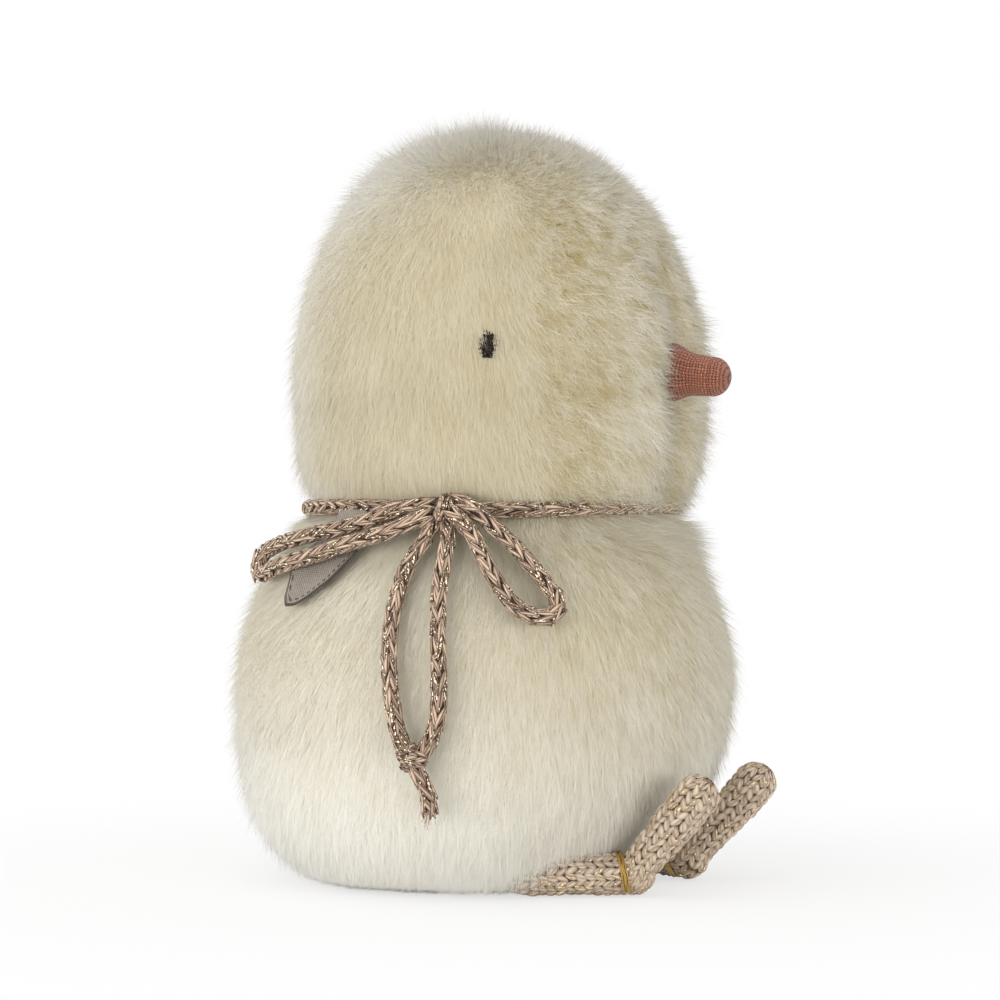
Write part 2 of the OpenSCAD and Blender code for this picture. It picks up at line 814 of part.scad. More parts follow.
module key_eyelet() {
    color("#c3b58a")
    difference() {
        union() {
            rod_x(0, key_z, eyelet_r, body_r - skin_t - 2 * past,
                skin_t + 2 * past + soft_gap + eyelet_t / 2);
            rod_x(0, key_z, eyelet_flange_r, eyelet_x, eyelet_t);
        }
        rod_x(0, key_z, eyelet_bore, 0, key_x);
    }
}

// A flat strip wound from the arbor outwards, with its outer end bent to a frame pillar
spring_r = arbor_r + spring_t / 2 + soft_gap;
spring_end = atan2(pillar_high[1] - key_z, pillar_high[0]);
spring_reach = norm([pillar_high[0], pillar_high[1] - key_z]) - pillar_r - soft_gap;
spring_points = 20;

module mainspring() {
    steps = spring_turns * spring_points;
    end_r = spring_r + spring_step * spring_turns;
    out = at_angle(1, spring_end);
    back = at_angle(spring_t, spring_end - 90);
    color("#8d9096")
    translate([0, 0, key_z])
        along_x(spring_x, spring_w)
            polygon(concat(
                [for (i = [0 : steps])
                    at_angle(spring_r + spring_step * i / spring_points - spring_t / 2,
                        spring_end - 360 * (spring_turns - i / spring_points))],
                [out * spring_reach, out * spring_reach + back, out * (end_r + spring_t / 2) + back],
                [for (i = [steps - 1 : -1 : 0])
                    at_angle(spring_r + spring_step * i / spring_points + spring_t / 2,
                        spring_end - 360 * (spring_turns - i / spring_points))]));
}

module great_wheel() {
    color("#c9a95a")
    translate([0, 0, key_z]) {
        along_x(great_x, wheel_t)
            gear_2d(great_teeth, 0, arbor_r + fit_gap);
        rod_x(click_pivot[0], click_pivot[1], click_post_r, great_x + wheel_t / 2,
            wheel_t / 2 + side_gap / 2 + ratchet_t);
    }
}

// Saw teeth, each with a steep face that the click holds
module ratchet_wheel() {
    root = ratchet_r - ratchet_depth;
    step = 360 / ratchet_teeth;
    color("#b8b4aa")
    translate([0, 0, key_z])
        along_x(ratchet_x, ratchet_t)
            difference() {
                polygon(flat_list([for (i = [0 : ratchet_teeth - 1]) [
                    at_angle(root, 90 + i * step),
                    at_angle(ratchet_r, 90 + i * step)]]));
                circle(arbor_r + fit_gap);
            }
}

module click() {
    root = ratchet_r - ratchet_depth;
    color("#b8b4aa")
    translate([0, 0, key_z])
        along_x(ratchet_x, ratchet_t)
            difference() {
                union() {
                    translate(click_pivot)
                        circle(click_r);
                    polygon([
                        [click_tip_gap, root + 0.25],
                        [ratchet_r * 0.4, ratchet_r],
                        [click_pivot[0], click_pivot[1] - click_r],
                        [click_pivot[0], click_pivot[1] + click_r],
                        [click_tip_gap, ratchet_r + 0.8]]);
                }
                translate(click_pivot)
                    circle(click_post_r + run_gap);
            }
}

module second_arbor() {
    color("#b8b4aa")
    rod_x(0, second_z, axle_r, -plate_out, 2 * plate_out);
}

module second_pinion() {
    color("#c9a95a")
    translate([0, 0, second_z])
        along_x(second_pinion_x, pinion_t)
            gear_2d(pinion_teeth, mesh_phase(0, great_teeth, -90), axle_r + fit_gap);
}

module second_wheel() {
    color("#c9a95a")
    translate([0, 0, second_z])
        along_x(second_wheel_x, wheel_t)
            gear_2d(second_teeth, second_wheel_phase, axle_r + fit_gap);
}

// A crank arbor and its pieces at y, in mesh along a line of centres
module crank_arbor(y) {
    color("#b8b4aa")
    rod_x(y, crank_z, axle_r, -crank_out + soft_gap, 2 * (crank_out - soft_gap));
}

module crank_pinion(y, line) {
    color("#c9a95a")
    translate([0, y, crank_z])
        along_x(crank_pinion_x, pinion_t)
            gear_2d(pinion_teeth, mesh_phase(second_wheel_phase, second_teeth, line), axle_r + fit_gap);
}

// A disc on each end of the arbor, with its pin at the top of the throw
module cranks(y) {
    color("#d8c9a0")
    for (s = [0, 1])
        mirror([s, 0, 0]) {
            difference() {
                rod_x(y, crank_z, crank_r, crank_in, crank_t);
                rod_x(y, crank_z, axle_r + fit_gap, crank_in - past, crank_t + past - soft_gap / 2);
            }
            rod_x(y, crank_z + crank_throw, pin_r, crank_out - soft_gap / 4, cap_in + cap_t - crank_out);
        }
}

module pin_caps(y) {
    color("#b8b4aa")
    for (s = [0, 1])
        mirror([s, 0, 0])
            difference() {
                rod_x(y, crank_z + crank_throw, cap_r, cap_in, cap_t);
                rod_x(y, crank_z + crank_throw, pin_r + fit_gap, cap_in - past, cap_t + 2 * past);
            }
}

module front_crank_arbor() {
    crank_arbor(-crank_y);
}

module front_crank_pinion() {
    crank_pinion(-crank_y, front_mesh);
}

module front_cranks() {
    cranks(-crank_y);
}

module front_pin_caps() {
    pin_caps(-crank_y);
}

module rear_crank_arbor() {
    crank_arbor(crank_y);
}

module rear_crank_pinion() {
    crank_pinion(crank_y, rear_mesh);
}

module rear_cranks() {
    cranks(crank_y);
}

module rear_pin_caps() {
    pin_caps(crank_y);
}

// A plate on the two crank pins of one side, bent out to a flat sole
hop_top = 3;

module hop_foot() {
    pin_z = crank_z + crank_throw;
    color("#d2884a")
    difference() {
        union() {
            along_x(hop_in, hop_t)
                translate([-hop_half, sole_z])
                    square([2 * hop_half, pin_z + hop_top - sole_z]);
            translate([hop_in, -hop_half, sole_z])
                cube([sole_w, 2 * hop_half, sole_t]);
        }
        for (s = [-1, 1])
            rod_x(s * crank_y, pin_z, pin_r + run_gap, hop_in - past, hop_t + 2 * past);
    }
}

module right_hop_foot() {
    mirror([1, 0, 0])
        hop_foot();
}

module left_hop_foot() {
    hop_foot();
}

body_skin();
body_stuffing();
head_skin();
head_stuffing();
beak();
right_eye();
left_eye();
right_leg();
left_leg();
right_foot();
left_foot();
right_ankle_stitch();
left_ankle_stitch();
neck_cord();
bow_knot();
bow_loop_rear();
bow_loop_front();
bow_tail_rear();
bow_tail_front();
tail_knot();
tail_stub();
label();
base_plate();
motor_cover();
base_screws();
motor_plate_right();
motor_plate_left();
frame_pillars();
frame_screws();
winding_arbor();
winding_key();
key_eyelet();
mainspring();
great_wheel();
ratchet_wheel();
click();
second_arbor();
second_pinion();
second_wheel();
front_crank_arbor();
front_crank_pinion();
front_cranks();
front_pin_caps();
rear_crank_arbor();
rear_crank_pinion();
rear_cranks();
rear_pin_caps();
right_hop_foot();
left_hop_foot();
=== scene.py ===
# %% [markdown]
# A plush wind-up chick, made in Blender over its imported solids.
# The frame is the CAD model: every solid sits where the part's source put it, and it is never moved or changed.
# This lesson dresses the soft solids in fur, knit, linen and ribbon, and gives the hidden motor its metals
# and plastics.

# %% Load the frame
import math

import bmesh
import bpy
import numpy as np
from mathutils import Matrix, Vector


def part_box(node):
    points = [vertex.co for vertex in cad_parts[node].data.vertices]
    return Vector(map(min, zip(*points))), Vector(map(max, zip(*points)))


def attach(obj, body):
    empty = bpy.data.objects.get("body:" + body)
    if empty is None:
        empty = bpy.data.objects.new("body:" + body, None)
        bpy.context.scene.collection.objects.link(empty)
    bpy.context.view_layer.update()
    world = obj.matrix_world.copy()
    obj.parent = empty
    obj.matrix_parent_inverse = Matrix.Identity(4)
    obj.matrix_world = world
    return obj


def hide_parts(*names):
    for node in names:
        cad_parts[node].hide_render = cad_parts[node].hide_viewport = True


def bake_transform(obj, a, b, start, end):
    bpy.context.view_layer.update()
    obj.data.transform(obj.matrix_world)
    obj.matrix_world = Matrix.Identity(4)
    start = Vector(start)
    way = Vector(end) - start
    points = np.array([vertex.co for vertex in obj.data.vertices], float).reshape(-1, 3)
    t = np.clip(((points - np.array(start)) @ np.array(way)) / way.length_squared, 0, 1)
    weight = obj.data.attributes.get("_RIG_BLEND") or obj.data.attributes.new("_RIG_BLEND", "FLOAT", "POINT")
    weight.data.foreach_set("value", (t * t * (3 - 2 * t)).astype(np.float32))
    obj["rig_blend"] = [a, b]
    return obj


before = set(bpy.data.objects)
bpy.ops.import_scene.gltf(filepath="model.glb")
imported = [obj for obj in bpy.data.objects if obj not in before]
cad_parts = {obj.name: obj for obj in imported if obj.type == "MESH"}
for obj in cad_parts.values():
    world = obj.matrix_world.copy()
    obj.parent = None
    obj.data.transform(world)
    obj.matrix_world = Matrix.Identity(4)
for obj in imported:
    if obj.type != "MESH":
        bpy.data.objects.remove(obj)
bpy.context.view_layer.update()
MM = 0.001
SHOP = bpy.context.scene.collection


def new_object(name, data):
    made = bpy.data.objects.new(name, data)
    SHOP.objects.link(made)
    return made


# %% [markdown]
# The photo looks at the chick's right side, turned 65 degrees from straight ahead and level with the ground.
# A long lens from 600 mm keeps its near and far legs at nearly the same scale, as they are in the photo.

# %% Camera
LOOK = math.radians(65)
CAMERA_FAR, LENS, SENSOR = 0.6, 113.7, 36
heading = Vector((-math.sin(LOOK), -math.cos(LOOK), 0))
aim = Vector((1.2, -5.6, 71.5)) * MM


def facing(way):
    """The turn that points a camera or a lamp along a direction."""
    return way.to_track_quat("-Z", "Y").to_euler()


camera = new_object("camera", bpy.data.cameras.new("camera"))
camera.data.lens, camera.data.sensor_width, camera.data.clip_start = LENS, SENSOR, 0.01
camera.location, camera.rotation_euler = aim + heading * CAMERA_FAR, facing(-heading)
bpy.context.scene.camera = camera
print("camera at", [round(x, 3) for x in camera.location])

# %% [markdown]
# Node trees are easier to read as sums than as boxes and threads.
# A Wire wraps one output socket, and Python's operators on it put Math or Vector Math nodes on the bench.
# Every other node comes from the bench's one method, which takes the type, the settings and then the sockets.

# %% Wires and benches
FLOW = ("VECTOR", "RGBA")


class Wire:
    """A node's output socket, ready for sums."""

    def __init__(self, bench, socket):
        self.bench, self.socket = bench, socket

    def of(self, name):
        return Wire(self.bench, self.socket.node.outputs[name])

    def pair(self, operation, first, second):
        flows = [isinstance(w, tuple) or (isinstance(w, Wire) and w.socket.type in FLOW) for w in (first, second)]
        if not any(flows):
            return self.bench.add("ShaderNodeMath", {"operation": operation}, {0: first, 1: second})
        if operation == "MULTIPLY" and not all(flows):
            vector, number = (first, second) if flows[0] else (second, first)
            return self.bench.add("ShaderNodeVectorMath", {"operation": "SCALE"}, {0: vector, 3: number})
        return self.bench.add("ShaderNodeVectorMath", {"operation": operation}, {0: first, 1: second})

    def single(self, operation):
        return self.bench.add("ShaderNodeMath", {"operation": operation}, {0: self})

    def __add__(self, other): return self.pair("ADD", self, other)
    def __radd__(self, other): return self.pair("ADD", other, self)
    def __sub__(self, other): return self.pair("SUBTRACT", self, other)
    def __rsub__(self, other): return self.pair("SUBTRACT", other, self)
    def __mul__(self, other): return self.pair("MULTIPLY", self, other)
    def __rmul__(self, other): return self.pair("MULTIPLY", other, self)
    def __truediv__(self, other): return self.pair("DIVIDE", self, other)
    def __pow__(self, other): return self.pair("POWER", self, other)
    def __mod__(self, other): return self.pair("FLOORED_MODULO", self, other)
    def __gt__(self, other): return self.pair("GREATER_THAN", self, other)
    def __lt__(self, other): return self.pair("LESS_THAN", self, other)
    def __abs__(self): return self.single("ABSOLUTE")
    def least(self, other): return self.pair("MINIMUM", self, other)
    def most(self, other): return self.pair("MAXIMUM", self, other)
    def sine(self): return self.single("SINE")
    def cosine(self): return self.single("COSINE")
    def floor(self): return self.single("FLOOR")

    def held(self):
        return self.bench.add("ShaderNodeClamp", None, {0: self})

    def cross(self, other):
        return self.bench.add("ShaderNodeVectorMath", {"operation": "CROSS_PRODUCT"}, {0: self, 1: other})

    def part(self, axis):
        return self.bench.add("ShaderNodeSeparateXYZ", None, {0: self}, axis)

    def length(self):
        return self.bench.add("ShaderNodeVectorMath", {"operation": "LENGTH"}, {0: self}, "Value")


class Bench:
    """A node tree and the one way that a node gets on to it, with short names for the nodes used most."""

    def __init__(self, tree):
        self.tree = tree

    def add(self, kind, settings=None, sockets=None, out=0):
        node = self.tree.nodes.new(kind)
        for name, value in (settings or {}).items():
            setattr(node, name, value)
        for key, value in (sockets or {}).items():
            socket = node.inputs[key]
            if isinstance(value, Wire):
                self.tree.links.new(value.socket, socket)
            elif socket.type == "RGBA":
                socket.default_value = (*value[:3], 1)
            else:
                socket.default_value = value
        return Wire(self, node.outputs[out]) if len(node.outputs) else node

    def place(self):
        """Where on the piece a point is, in metres."""
        return self.add("ShaderNodeTexCoord", None, None, "Object")

    def map_of(self, name):
        """Both coordinates of the piece's own map."""
        lay = self.add("ShaderNodeUVMap", {"uv_map": name})
        return lay.part("X"), lay.part("Y")

    def mark(self, name):
        """A number that the mesh carries on its points."""
        return self.add("ShaderNodeAttribute", {"attribute_name": name}, None, "Fac")

    def vector(self, x, y, z):
        return self.add("ShaderNodeCombineXYZ", None, {0: x, 1: y, 2: z})

    def mix(self, share, first, second):
        return self.add("ShaderNodeMix", {"data_type": "RGBA"}, {0: share, 6: first, 7: second}, 2)

    def mix_shader(self, share, first, second):
        return self.add("ShaderNodeMixShader", None, {0: share, 1: first, 2: second})

    def ramp(self, value, low, high, start=0.0, end=1.0):
        return self.add("ShaderNodeMapRange", {"interpolation_type": "SMOOTHSTEP"}, {
            "Value": value, "From Min": low, "From Max": high, "To Min": start, "To Max": end})

    def noise(self, place, scale, detail=2.0, rough=0.5, out="Fac"):
        return self.add("ShaderNodeTexNoise", None, {
            "Vector": place, "Scale": scale, "Detail": detail, "Roughness": rough}, out)

    def bump(self, height, distance, strength):
        return self.add("ShaderNodeBump", None, {"Height": height, "Distance": distance, "Strength": strength})


def bare_bench(owner):
    """A bench on the owner's node tree, emptied first."""
    owner.use_nodes = True
    owner.node_tree.nodes.clear()
    return Bench(owner.node_tree)


def finish_of(name, recipe):
    """A material whose Principled sockets are what the recipe returns."""
    made = bpy.data.materials.new(name)
    bench = bare_bench(made)
    shader = bench.add("ShaderNodeBsdfPrincipled", None, recipe(bench))
    bench.add("ShaderNodeOutputMaterial", None, {"Surface": shader})
    return made


print("benches ready")

# %% [markdown]
# The studio is a white sweep with a broad soft lamp low on the left, a weaker one on the right, two behind
# and a skylight. The two behind light the edges of the fur and the sides that the photo doesn't show.
# White comes from Light Path, so the backdrop reads as paper while the chick gets only a plain level of light.
# Near the chick the sweep keeps a third of its shadow, and from below it is clear.

# %% Studio
WHITE = (1, 1, 1)
SHADOW_FROM, SHADOW_TO, SHADOW = 0.06, 0.2, 0.35
FLOOR_REACH, FLOOR_Z = 3, -0.0003
bpy.context.scene.view_settings.view_transform = "Standard"


def seen_directly(bench):
    path = bench.add("ShaderNodeLightPath", None, None, "Is Camera Ray")
    return path.most(path.of("Is Glossy Ray")).most(path.of("Is Transmission Ray"))


world = bpy.data.worlds.new("studio")
bench = bare_bench(world)
soft = bench.add("ShaderNodeBackground", None, {"Color": WHITE, "Strength": 0.7})
paper = bench.add("ShaderNodeBackground", None, {"Color": WHITE, "Strength": 1.0})
bench.add("ShaderNodeOutputWorld", None, {"Surface": bench.mix_shader(seen_directly(bench), soft, paper)})
bpy.context.scene.world = world

sweep = bpy.data.materials.new("sweep")
bench = bare_bench(sweep)
lit = bench.add("ShaderNodeBsdfDiffuse", None, {"Color": (0.9, 0.9, 0.9)})
glow = bench.add("ShaderNodeEmission", None, {"Color": WHITE, "Strength": 1.0})
near = bench.ramp(bench.place().length(), SHADOW_FROM, SHADOW_TO, SHADOW, 0.0)
paper = bench.mix_shader(seen_directly(bench) * (1 - near), lit, glow)
below = bench.add("ShaderNodeNewGeometry", None, None, "Backfacing")
clear = bench.add("ShaderNodeBsdfTransparent")
bench.add("ShaderNodeOutputMaterial", None, {"Surface": bench.mix_shader(below, paper, clear)})
corners = [(x * FLOOR_REACH, y * FLOOR_REACH, FLOOR_Z) for x, y in ((-1, -1), (1, -1), (1, 1), (-1, 1))]
floor_mesh = bpy.data.meshes.new("floor")
floor_mesh.from_pydata(corners, [], [(0, 1, 2, 3)])
floor_mesh.materials.append(sweep)
floor = new_object("floor", floor_mesh)

# %% [markdown]
# Each lamp's place is given from the chick as the camera sees it: metres nearer, to the right and up.
# Its size is in metres too, and its power in watts.

# %% Lamps
across = Vector((0.4226, -0.9063, 0))
LAMPS = {
    "window": (0.65, -0.7, 0.04, (1.2, 0.2), 4.1),
    "fill": (0.65, 0.75, 0.04, (1.2, 0.2), 3.0),
    "back_left": (-0.5, -0.75, 0.06, (1.0, 0.3), 1.7),
    "back_right": (-0.5, 0.75, 0.06, (1.0, 0.3), 1.4),
    "skylight": (0.25, -0.2, 0.9, (0.9, 0.9), 3.2),
}
for name, (nearer, right, up, size, power) in LAMPS.items():
    place = aim + heading * nearer + across * right + Vector((0, 0, up))
    light = bpy.data.lights.new(name, "AREA")
    light.shape, light.size, light.size_y, light.energy = "RECTANGLE", *size, power
    lamp = new_object(name, light)
    lamp.location, lamp.rotation_euler = place, facing(aim - place)
print("studio: a white sweep and", len(LAMPS), "lamps")

# %% [markdown]
# The bow, its tails and the neck tie are one kind of cord: a chain-knit tape with a gold thread run in.
# Their routes repeat the part's own points, in millimetres, so that the dressed cord lies where its solid is.
# A smooth curve through those points gives an even path for a swept core and for the stitches on it.

# %% Cord routes
ROUTES = {
    "bow_loop_rear": [
        (-37.6, -8.4, 70.8), (-38.6, -4, 69.8), (-39.8, 0, 68.2), (-40.4, 4, 67), (-40.2, 8, 66.2),
        (-39.2, 12.5, 65.4), (-37.2, 17.5, 64.4), (-34.4, 22.5, 63.4), (-31.2, 27, 62), (-29.6, 29.4, 60),
        (-30.6, 28.8, 58), (-34, 25.6, 58), (-37.8, 20.9, 59.5), (-40.1, 15.1, 60.8), (-41.6, 9, 62.3),
        (-42.3, 3.1, 64), (-41.4, -2.6, 65.6), (-39.7, -7.9, 67.8)],
    "bow_loop_front": [
        (-36.4, -16.3, 71.3), (-36.2, -18.6, 69.4), (-35.6, -21.4, 66.8), (-35, -24.6, 64), (-34.9, -27.6, 61),
        (-34.9, -30.4, 57.9), (-34.7, -32.8, 55), (-35.1, -33.8, 52.6), (-36.6, -32.9, 51), (-38.2, -30.6, 51.2),
        (-39.5, -27.8, 52.8), (-40, -25.2, 55.5), (-39.7, -22.8, 58.8), (-39.1, -20.6, 62.4), (-38.6, -18.4, 65.8),
        (-38.7, -16, 68.4)],
    "bow_tail_rear": [
        (-38, -10.3, 66.4), (-39.8, -10.3, 65), (-40.9, -9.3, 62.8), (-42.1, -8, 60.4), (-43.5, -7.5, 57.6),
        (-44.9, -7.1, 54.8), (-46.1, -6.9, 51.8), (-47.2, -6.9, 48.6), (-48.1, -7.1, 45.4), (-48.7, -7.4, 42),
        (-49, -7.8, 38.6), (-49.1, -8.4, 35.2), (-49.3, -9.2, 32), (-49.4, -10.1, 28.8)],
    "bow_tail_front": [
        (-37.4, -13.7, 66.2), (-39, -14.2, 65), (-40.2, -14.4, 63), (-41.4, -14.4, 60.2), (-42.8, -14.5, 57.2),
        (-44, -14.8, 54.2), (-45.1, -15.2, 51.2), (-46, -15.6, 48), (-46.7, -16, 44.8), (-47.2, -16.4, 41.4),
        (-47.5, -16.6, 38), (-47.8, -16.6, 34.6), (-48.2, -16, 31.2), (-48.6, -14.8, 28.4)],
    "tail_stub": [
        (-49.1, -13.4, 23.6), (-48.7, -14.2, 22), (-48, -14.7, 20.4), (-47.4, -14.6, 18.6), (-46.8, -14.2, 16.8)],
}
CORD_R = 1.6
KNOT = np.array((-36.78, -12.32, 70.0))
KNOT_OUT = np.array((-0.978, -0.208, 0.0))
KNOT_SIDE = np.array((0.208, -0.978, 0.0))
TAIL_KNOT = np.array((-49.8, -12.4, 26.4))


def distances(path):
    """How far along a path each of its points is."""
    return np.concatenate([[0], np.cumsum(np.linalg.norm(np.diff(path, axis=0), axis=1))])


def points_at(spots, far, path):
    """The points of a path at some distances along it."""
    return np.stack([np.interp(spots, far, path[:, k]) for k in range(3)], 1)


def smooth_route(points, step=0.45, closed=False):
    """Even points along a smooth curve through the given ones."""
    p = np.array(points, float)
    p = np.vstack([p[-1], p, p[:2]]) if closed else np.vstack([2 * p[0] - p[1], p, 2 * p[-1] - p[-2]])
    t = np.linspace(0, 1, 24, endpoint=False)[:, None]
    run = [0.5 * (2 * b + (c - a) * t + (2 * a - 5 * b + 4 * c - d) * t**2 + (3 * b - a - 3 * c + d) * t**3)
           for a, b, c, d in zip(p, p[1:], p[2:], p[3:])]
    run = np.vstack(run + [p[1 if closed else -2][None]])
    far = distances(run)
    even = np.linspace(0, far[-1], max(4, int(round(far[-1] / step)) + 1))
    return points_at(even[:-1] if closed else even, far, run)


def route_length(path):
    return float(distances(path)[-1])


def into_knots(name, points):
    """The route with its ends carried on into the knots that hold them, where no gap may show."""
    points = np.array(points)
    first_knot = KNOT if name.startswith("bow") else TAIL_KNOT
    last_knot = {"bow_loop": KNOT, "bow_tail": TAIL_KNOT}.get(name[:8])
    first = points[:1] + (first_knot - points[:1]) * 0.5
    last = points[:0] if last_knot is None else points[-1:] + (last_knot - points[-1:]) * 0.5
    return np.vstack([first, points, last])


def relaxed(path, passes=6):
    for _ in range(passes):
        path = np.vstack([path[:1], (path[:-2] + 2 * path[1:-1] + path[2:]) / 4, path[-1:]])
    return path


PATHS = {name: relaxed(smooth_route(into_knots(name, points))) for name, points in ROUTES.items()}
print({name: round(route_length(path), 1) for name, path in PATHS.items()})

# %% [markdown]
# A swept tube is the cord's core: rings of points carried along the path without twisting, with a pole at each end.
# It fills the gaps between stitches, where its near-black colour is painted shade, and gives every cord a closed
# body.
# Most meshes of this lesson are such stacks of rings, so one function joins rings and poles with faces for all.

# %% Swept cores
POLE = 0.6
SKEW = (0.3, 0.2, 0.93)


def smoothed(mesh):
    mesh.polygons.foreach_set("use_smooth", [True] * len(mesh.polygons))
    return mesh


def mesh_of(name, points, faces):
    """A smooth mesh of points in millimetres, with its faces turned outwards."""
    mesh = bpy.data.meshes.new(name)
    mesh.from_pydata([tuple(p) for p in np.asarray(points, float) * MM], [], faces)
    smoothed(mesh)
    work = bmesh.new()
    work.from_mesh(mesh)
    bmesh.ops.recalc_face_normals(work, faces=work.faces)
    work.to_mesh(mesh)
    work.free()
    return mesh


def ring_faces(rows, around, low=None, high=None, closed=False):
    """Quads from ring to ring, and a fan of triangles to the pole of an end that has one."""
    steps = [(k, (k + 1) % around) for k in range(around)]
    pairs = [(r * around, (r + 1) % rows * around) for r in range(rows if closed else rows - 1)]
    faces = [(a + k, a + n, b + n, b + k) for a, b in pairs for k, n in steps]
    if low is not None:
        faces += [(n, k, low) for k, n in steps]
    if high is not None:
        last = (rows - 1) * around
        faces += [(last + k, last + n, high) for k, n in steps]
    return faces


def unit(v):
    return v / np.maximum(np.linalg.norm(v, axis=-1, keepdims=True), 1e-9)


def carried_frames(path, closed):
    """Tangent, normal and side of each point, with the least twist."""
    if closed:
        tangent = unit(np.roll(path, -1, 0) - np.roll(path, 1, 0))
    else:
        tangent = unit(np.gradient(path, axis=0))
    first = np.cross(tangent[0], SKEW)
    normal = [first / np.linalg.norm(first)]
    for t in tangent[1:]:
        n = normal[-1] - t * np.dot(normal[-1], t)
        normal.append(n / np.linalg.norm(n))
    normal = np.array(normal)
    return tangent, normal, np.cross(tangent, normal)


def swept(path, radius, around, closed=False):
    """Points and faces of a tube along the path."""
    tangent, normal, side = carried_frames(path, closed)
    radius = np.broadcast_to(np.asarray(radius, float), (len(path),))
    turn = np.linspace(0, 2 * np.pi, around, endpoint=False)
    ring = np.cos(turn)[None, :, None] * normal[:, None] + np.sin(turn)[None, :, None] * side[:, None]
    points = (path[:, None] + ring * radius[:, None, None]).reshape(-1, 3)
    if closed:
        return points, ring_faces(len(path), around, closed=True)
    low, high = len(points), len(points) + 1
    poles = [path[0] - tangent[0] * radius[0] * POLE, path[-1] + tangent[-1] * radius[-1] * POLE]
    return np.vstack([points, poles]), ring_faces(len(path), around, low, high)


def bundle(strands):
    """Points and faces of several tubes together, each given as its path, radius and number of sides."""
    points, faces = [], []
    for strand in strands:
        p, f = swept(*strand)
        faces += [tuple(i + len(points) for i in face) for face in f]
        points += list(p)
    return np.array(points), faces


print("tubes and rings ready")

# %% [markdown]
# Knit is a lattice of V-shaped stitches, and each V is two fat little loops of yarn that lean together.
# One half stitch of 48 triangles is made from listed rings, and a Geometry Nodes tree sets it in columns and rows on
# any path.
# The same tree knits the thin cord, with four columns, and the legs, with nine.

# %% Half stitch


def half_stitch():
    """A teardrop of yarn, one unit long along Z, thick along X and wide along Y."""
    heights = (-0.36, -0.12, 0.16, 0.38)
    widths = (0.34, 0.5, 0.47, 0.27)
    sides = 6
    turns = [math.radians(360 / sides * k) for k in range(sides)]
    points = [(w * math.cos(t), w * math.sin(t), z) for z, w in zip(heights, widths) for t in turns]
    low, high = len(points), len(points) + 1
    points += [(0, 0, -0.5), (0, 0, 0.5)]
    mesh = mesh_of("half_stitch", np.array(points) / MM, ring_faces(len(heights), sides, low, high))
    lay = mesh.uv_layers.new(name="yarn")
    for loop in mesh.loops:
        x, y, z = mesh.vertices[loop.vertex_index].co
        lay.data[loop.index].uv = (math.atan2(y, x) / (2 * math.pi), z + 0.5)
    return new_object("half_stitch", mesh)


STITCH = half_stitch()
print("half stitch:", len(STITCH.data.polygons), "faces")

# %% [markdown]
# A tree's inputs are its sizes. These helpers name the few nodes that both trees of this lesson use:
# numbers that a mesh carries, chance, a turn that stands a copy up, and the copies themselves, made real.

# %% Tree helpers


def tree_with(name, inputs, output):
    tree = bpy.data.node_groups.new(name, "GeometryNodeTree")
    for label, kind in inputs:
        tree.interface.new_socket(label, in_out="INPUT", socket_type="NodeSocket" + kind)
    tree.interface.new_socket(output, in_out="OUTPUT", socket_type="NodeSocketGeometry")
    bench = Bench(tree)
    return tree, bench, bench.add("NodeGroupInput")


def attribute(bench, name, kind="FLOAT"):
    return bench.add("GeometryNodeInputNamedAttribute", {"data_type": kind}, {"Name": name})


def store(bench, geometry, name, value, kind="FLOAT", domain="POINT"):
    return bench.add("GeometryNodeStoreNamedAttribute", {"data_type": kind, "domain": domain}, {
        "Geometry": geometry, "Name": name, "Value": value})


def chance(bench, low, high, seed):
    return bench.add("FunctionNodeRandomValue", {"data_type": "FLOAT"}, {2: low, 3: high, 8: seed}, 1)


def stood(bench, up, front):
    """A turn that points a copy's Z along one vector, and its X as nearly as it can along another."""
    turn = bench.add("FunctionNodeAlignRotationToVector", {"axis": "Z"}, {"Vector": up})
    return bench.add("FunctionNodeAlignRotationToVector", {"axis": "X", "pivot_axis": "Z"}, {
        "Rotation": turn, "Vector": front})


def planted(bench, points, thing, turn, size):
    """Real copies of an object on the points."""
    shape = bench.add("GeometryNodeObjectInfo", None, {"Object": thing}, "Geometry")
    laid = bench.add("GeometryNodeInstanceOnPoints", None, {
        "Points": points, "Instance": shape, "Rotation": turn, "Scale": size})
    return bench.add("GeometryNodeRealizeInstances", None, {"Geometry": laid})


def end_tree(bench, geometry, finish):
    done = bench.add("GeometryNodeSetMaterial", None, {"Geometry": geometry, "Material": finish})
    bench.add("NodeGroupOutput", None, {0: done})


def run_tree(host, tree, values, name):
    """The tree's result on the host as a plain smooth mesh. The host is taken away again."""
    modifier = host.modifiers.new(tree.name, "NODES")
    modifier.node_group = tree
    for item in tree.interface.items_tree:
        if item.item_type == "SOCKET" and item.in_out == "INPUT" and item.name in values:
            modifier[item.identifier] = values[item.name]
    graph = bpy.context.evaluated_depsgraph_get()
    mesh = bpy.data.meshes.new_from_object(host.evaluated_get(graph), preserve_all_data_layers=True, depsgraph=graph)
    host.modifiers.remove(modifier)
    bpy.data.objects.remove(host)
    mesh.name = name
    return smoothed(mesh)


def note(mesh, name, values):
    """Numbers or vectors on a mesh's points, under a name that a tree or a finish can read."""
    values = np.asarray(values, float)
    kind, field = ("FLOAT_VECTOR", "vector") if values.ndim == 2 else ("FLOAT", "value")
    mesh.attributes.new(name, kind, "POINT").data.foreach_set(field, values.ravel())


print("tree helpers ready")

# %% [markdown]
# The knitting tree makes a point for each half stitch: the row gives its place along the path, and its number
# in the row the turn round it. Left and right halves lean together into the V, and a little wander keeps them uneven.

# %% Knitting tree
OVERLAP_WIDE, OVERLAP_TALL = 1.12, 1.62


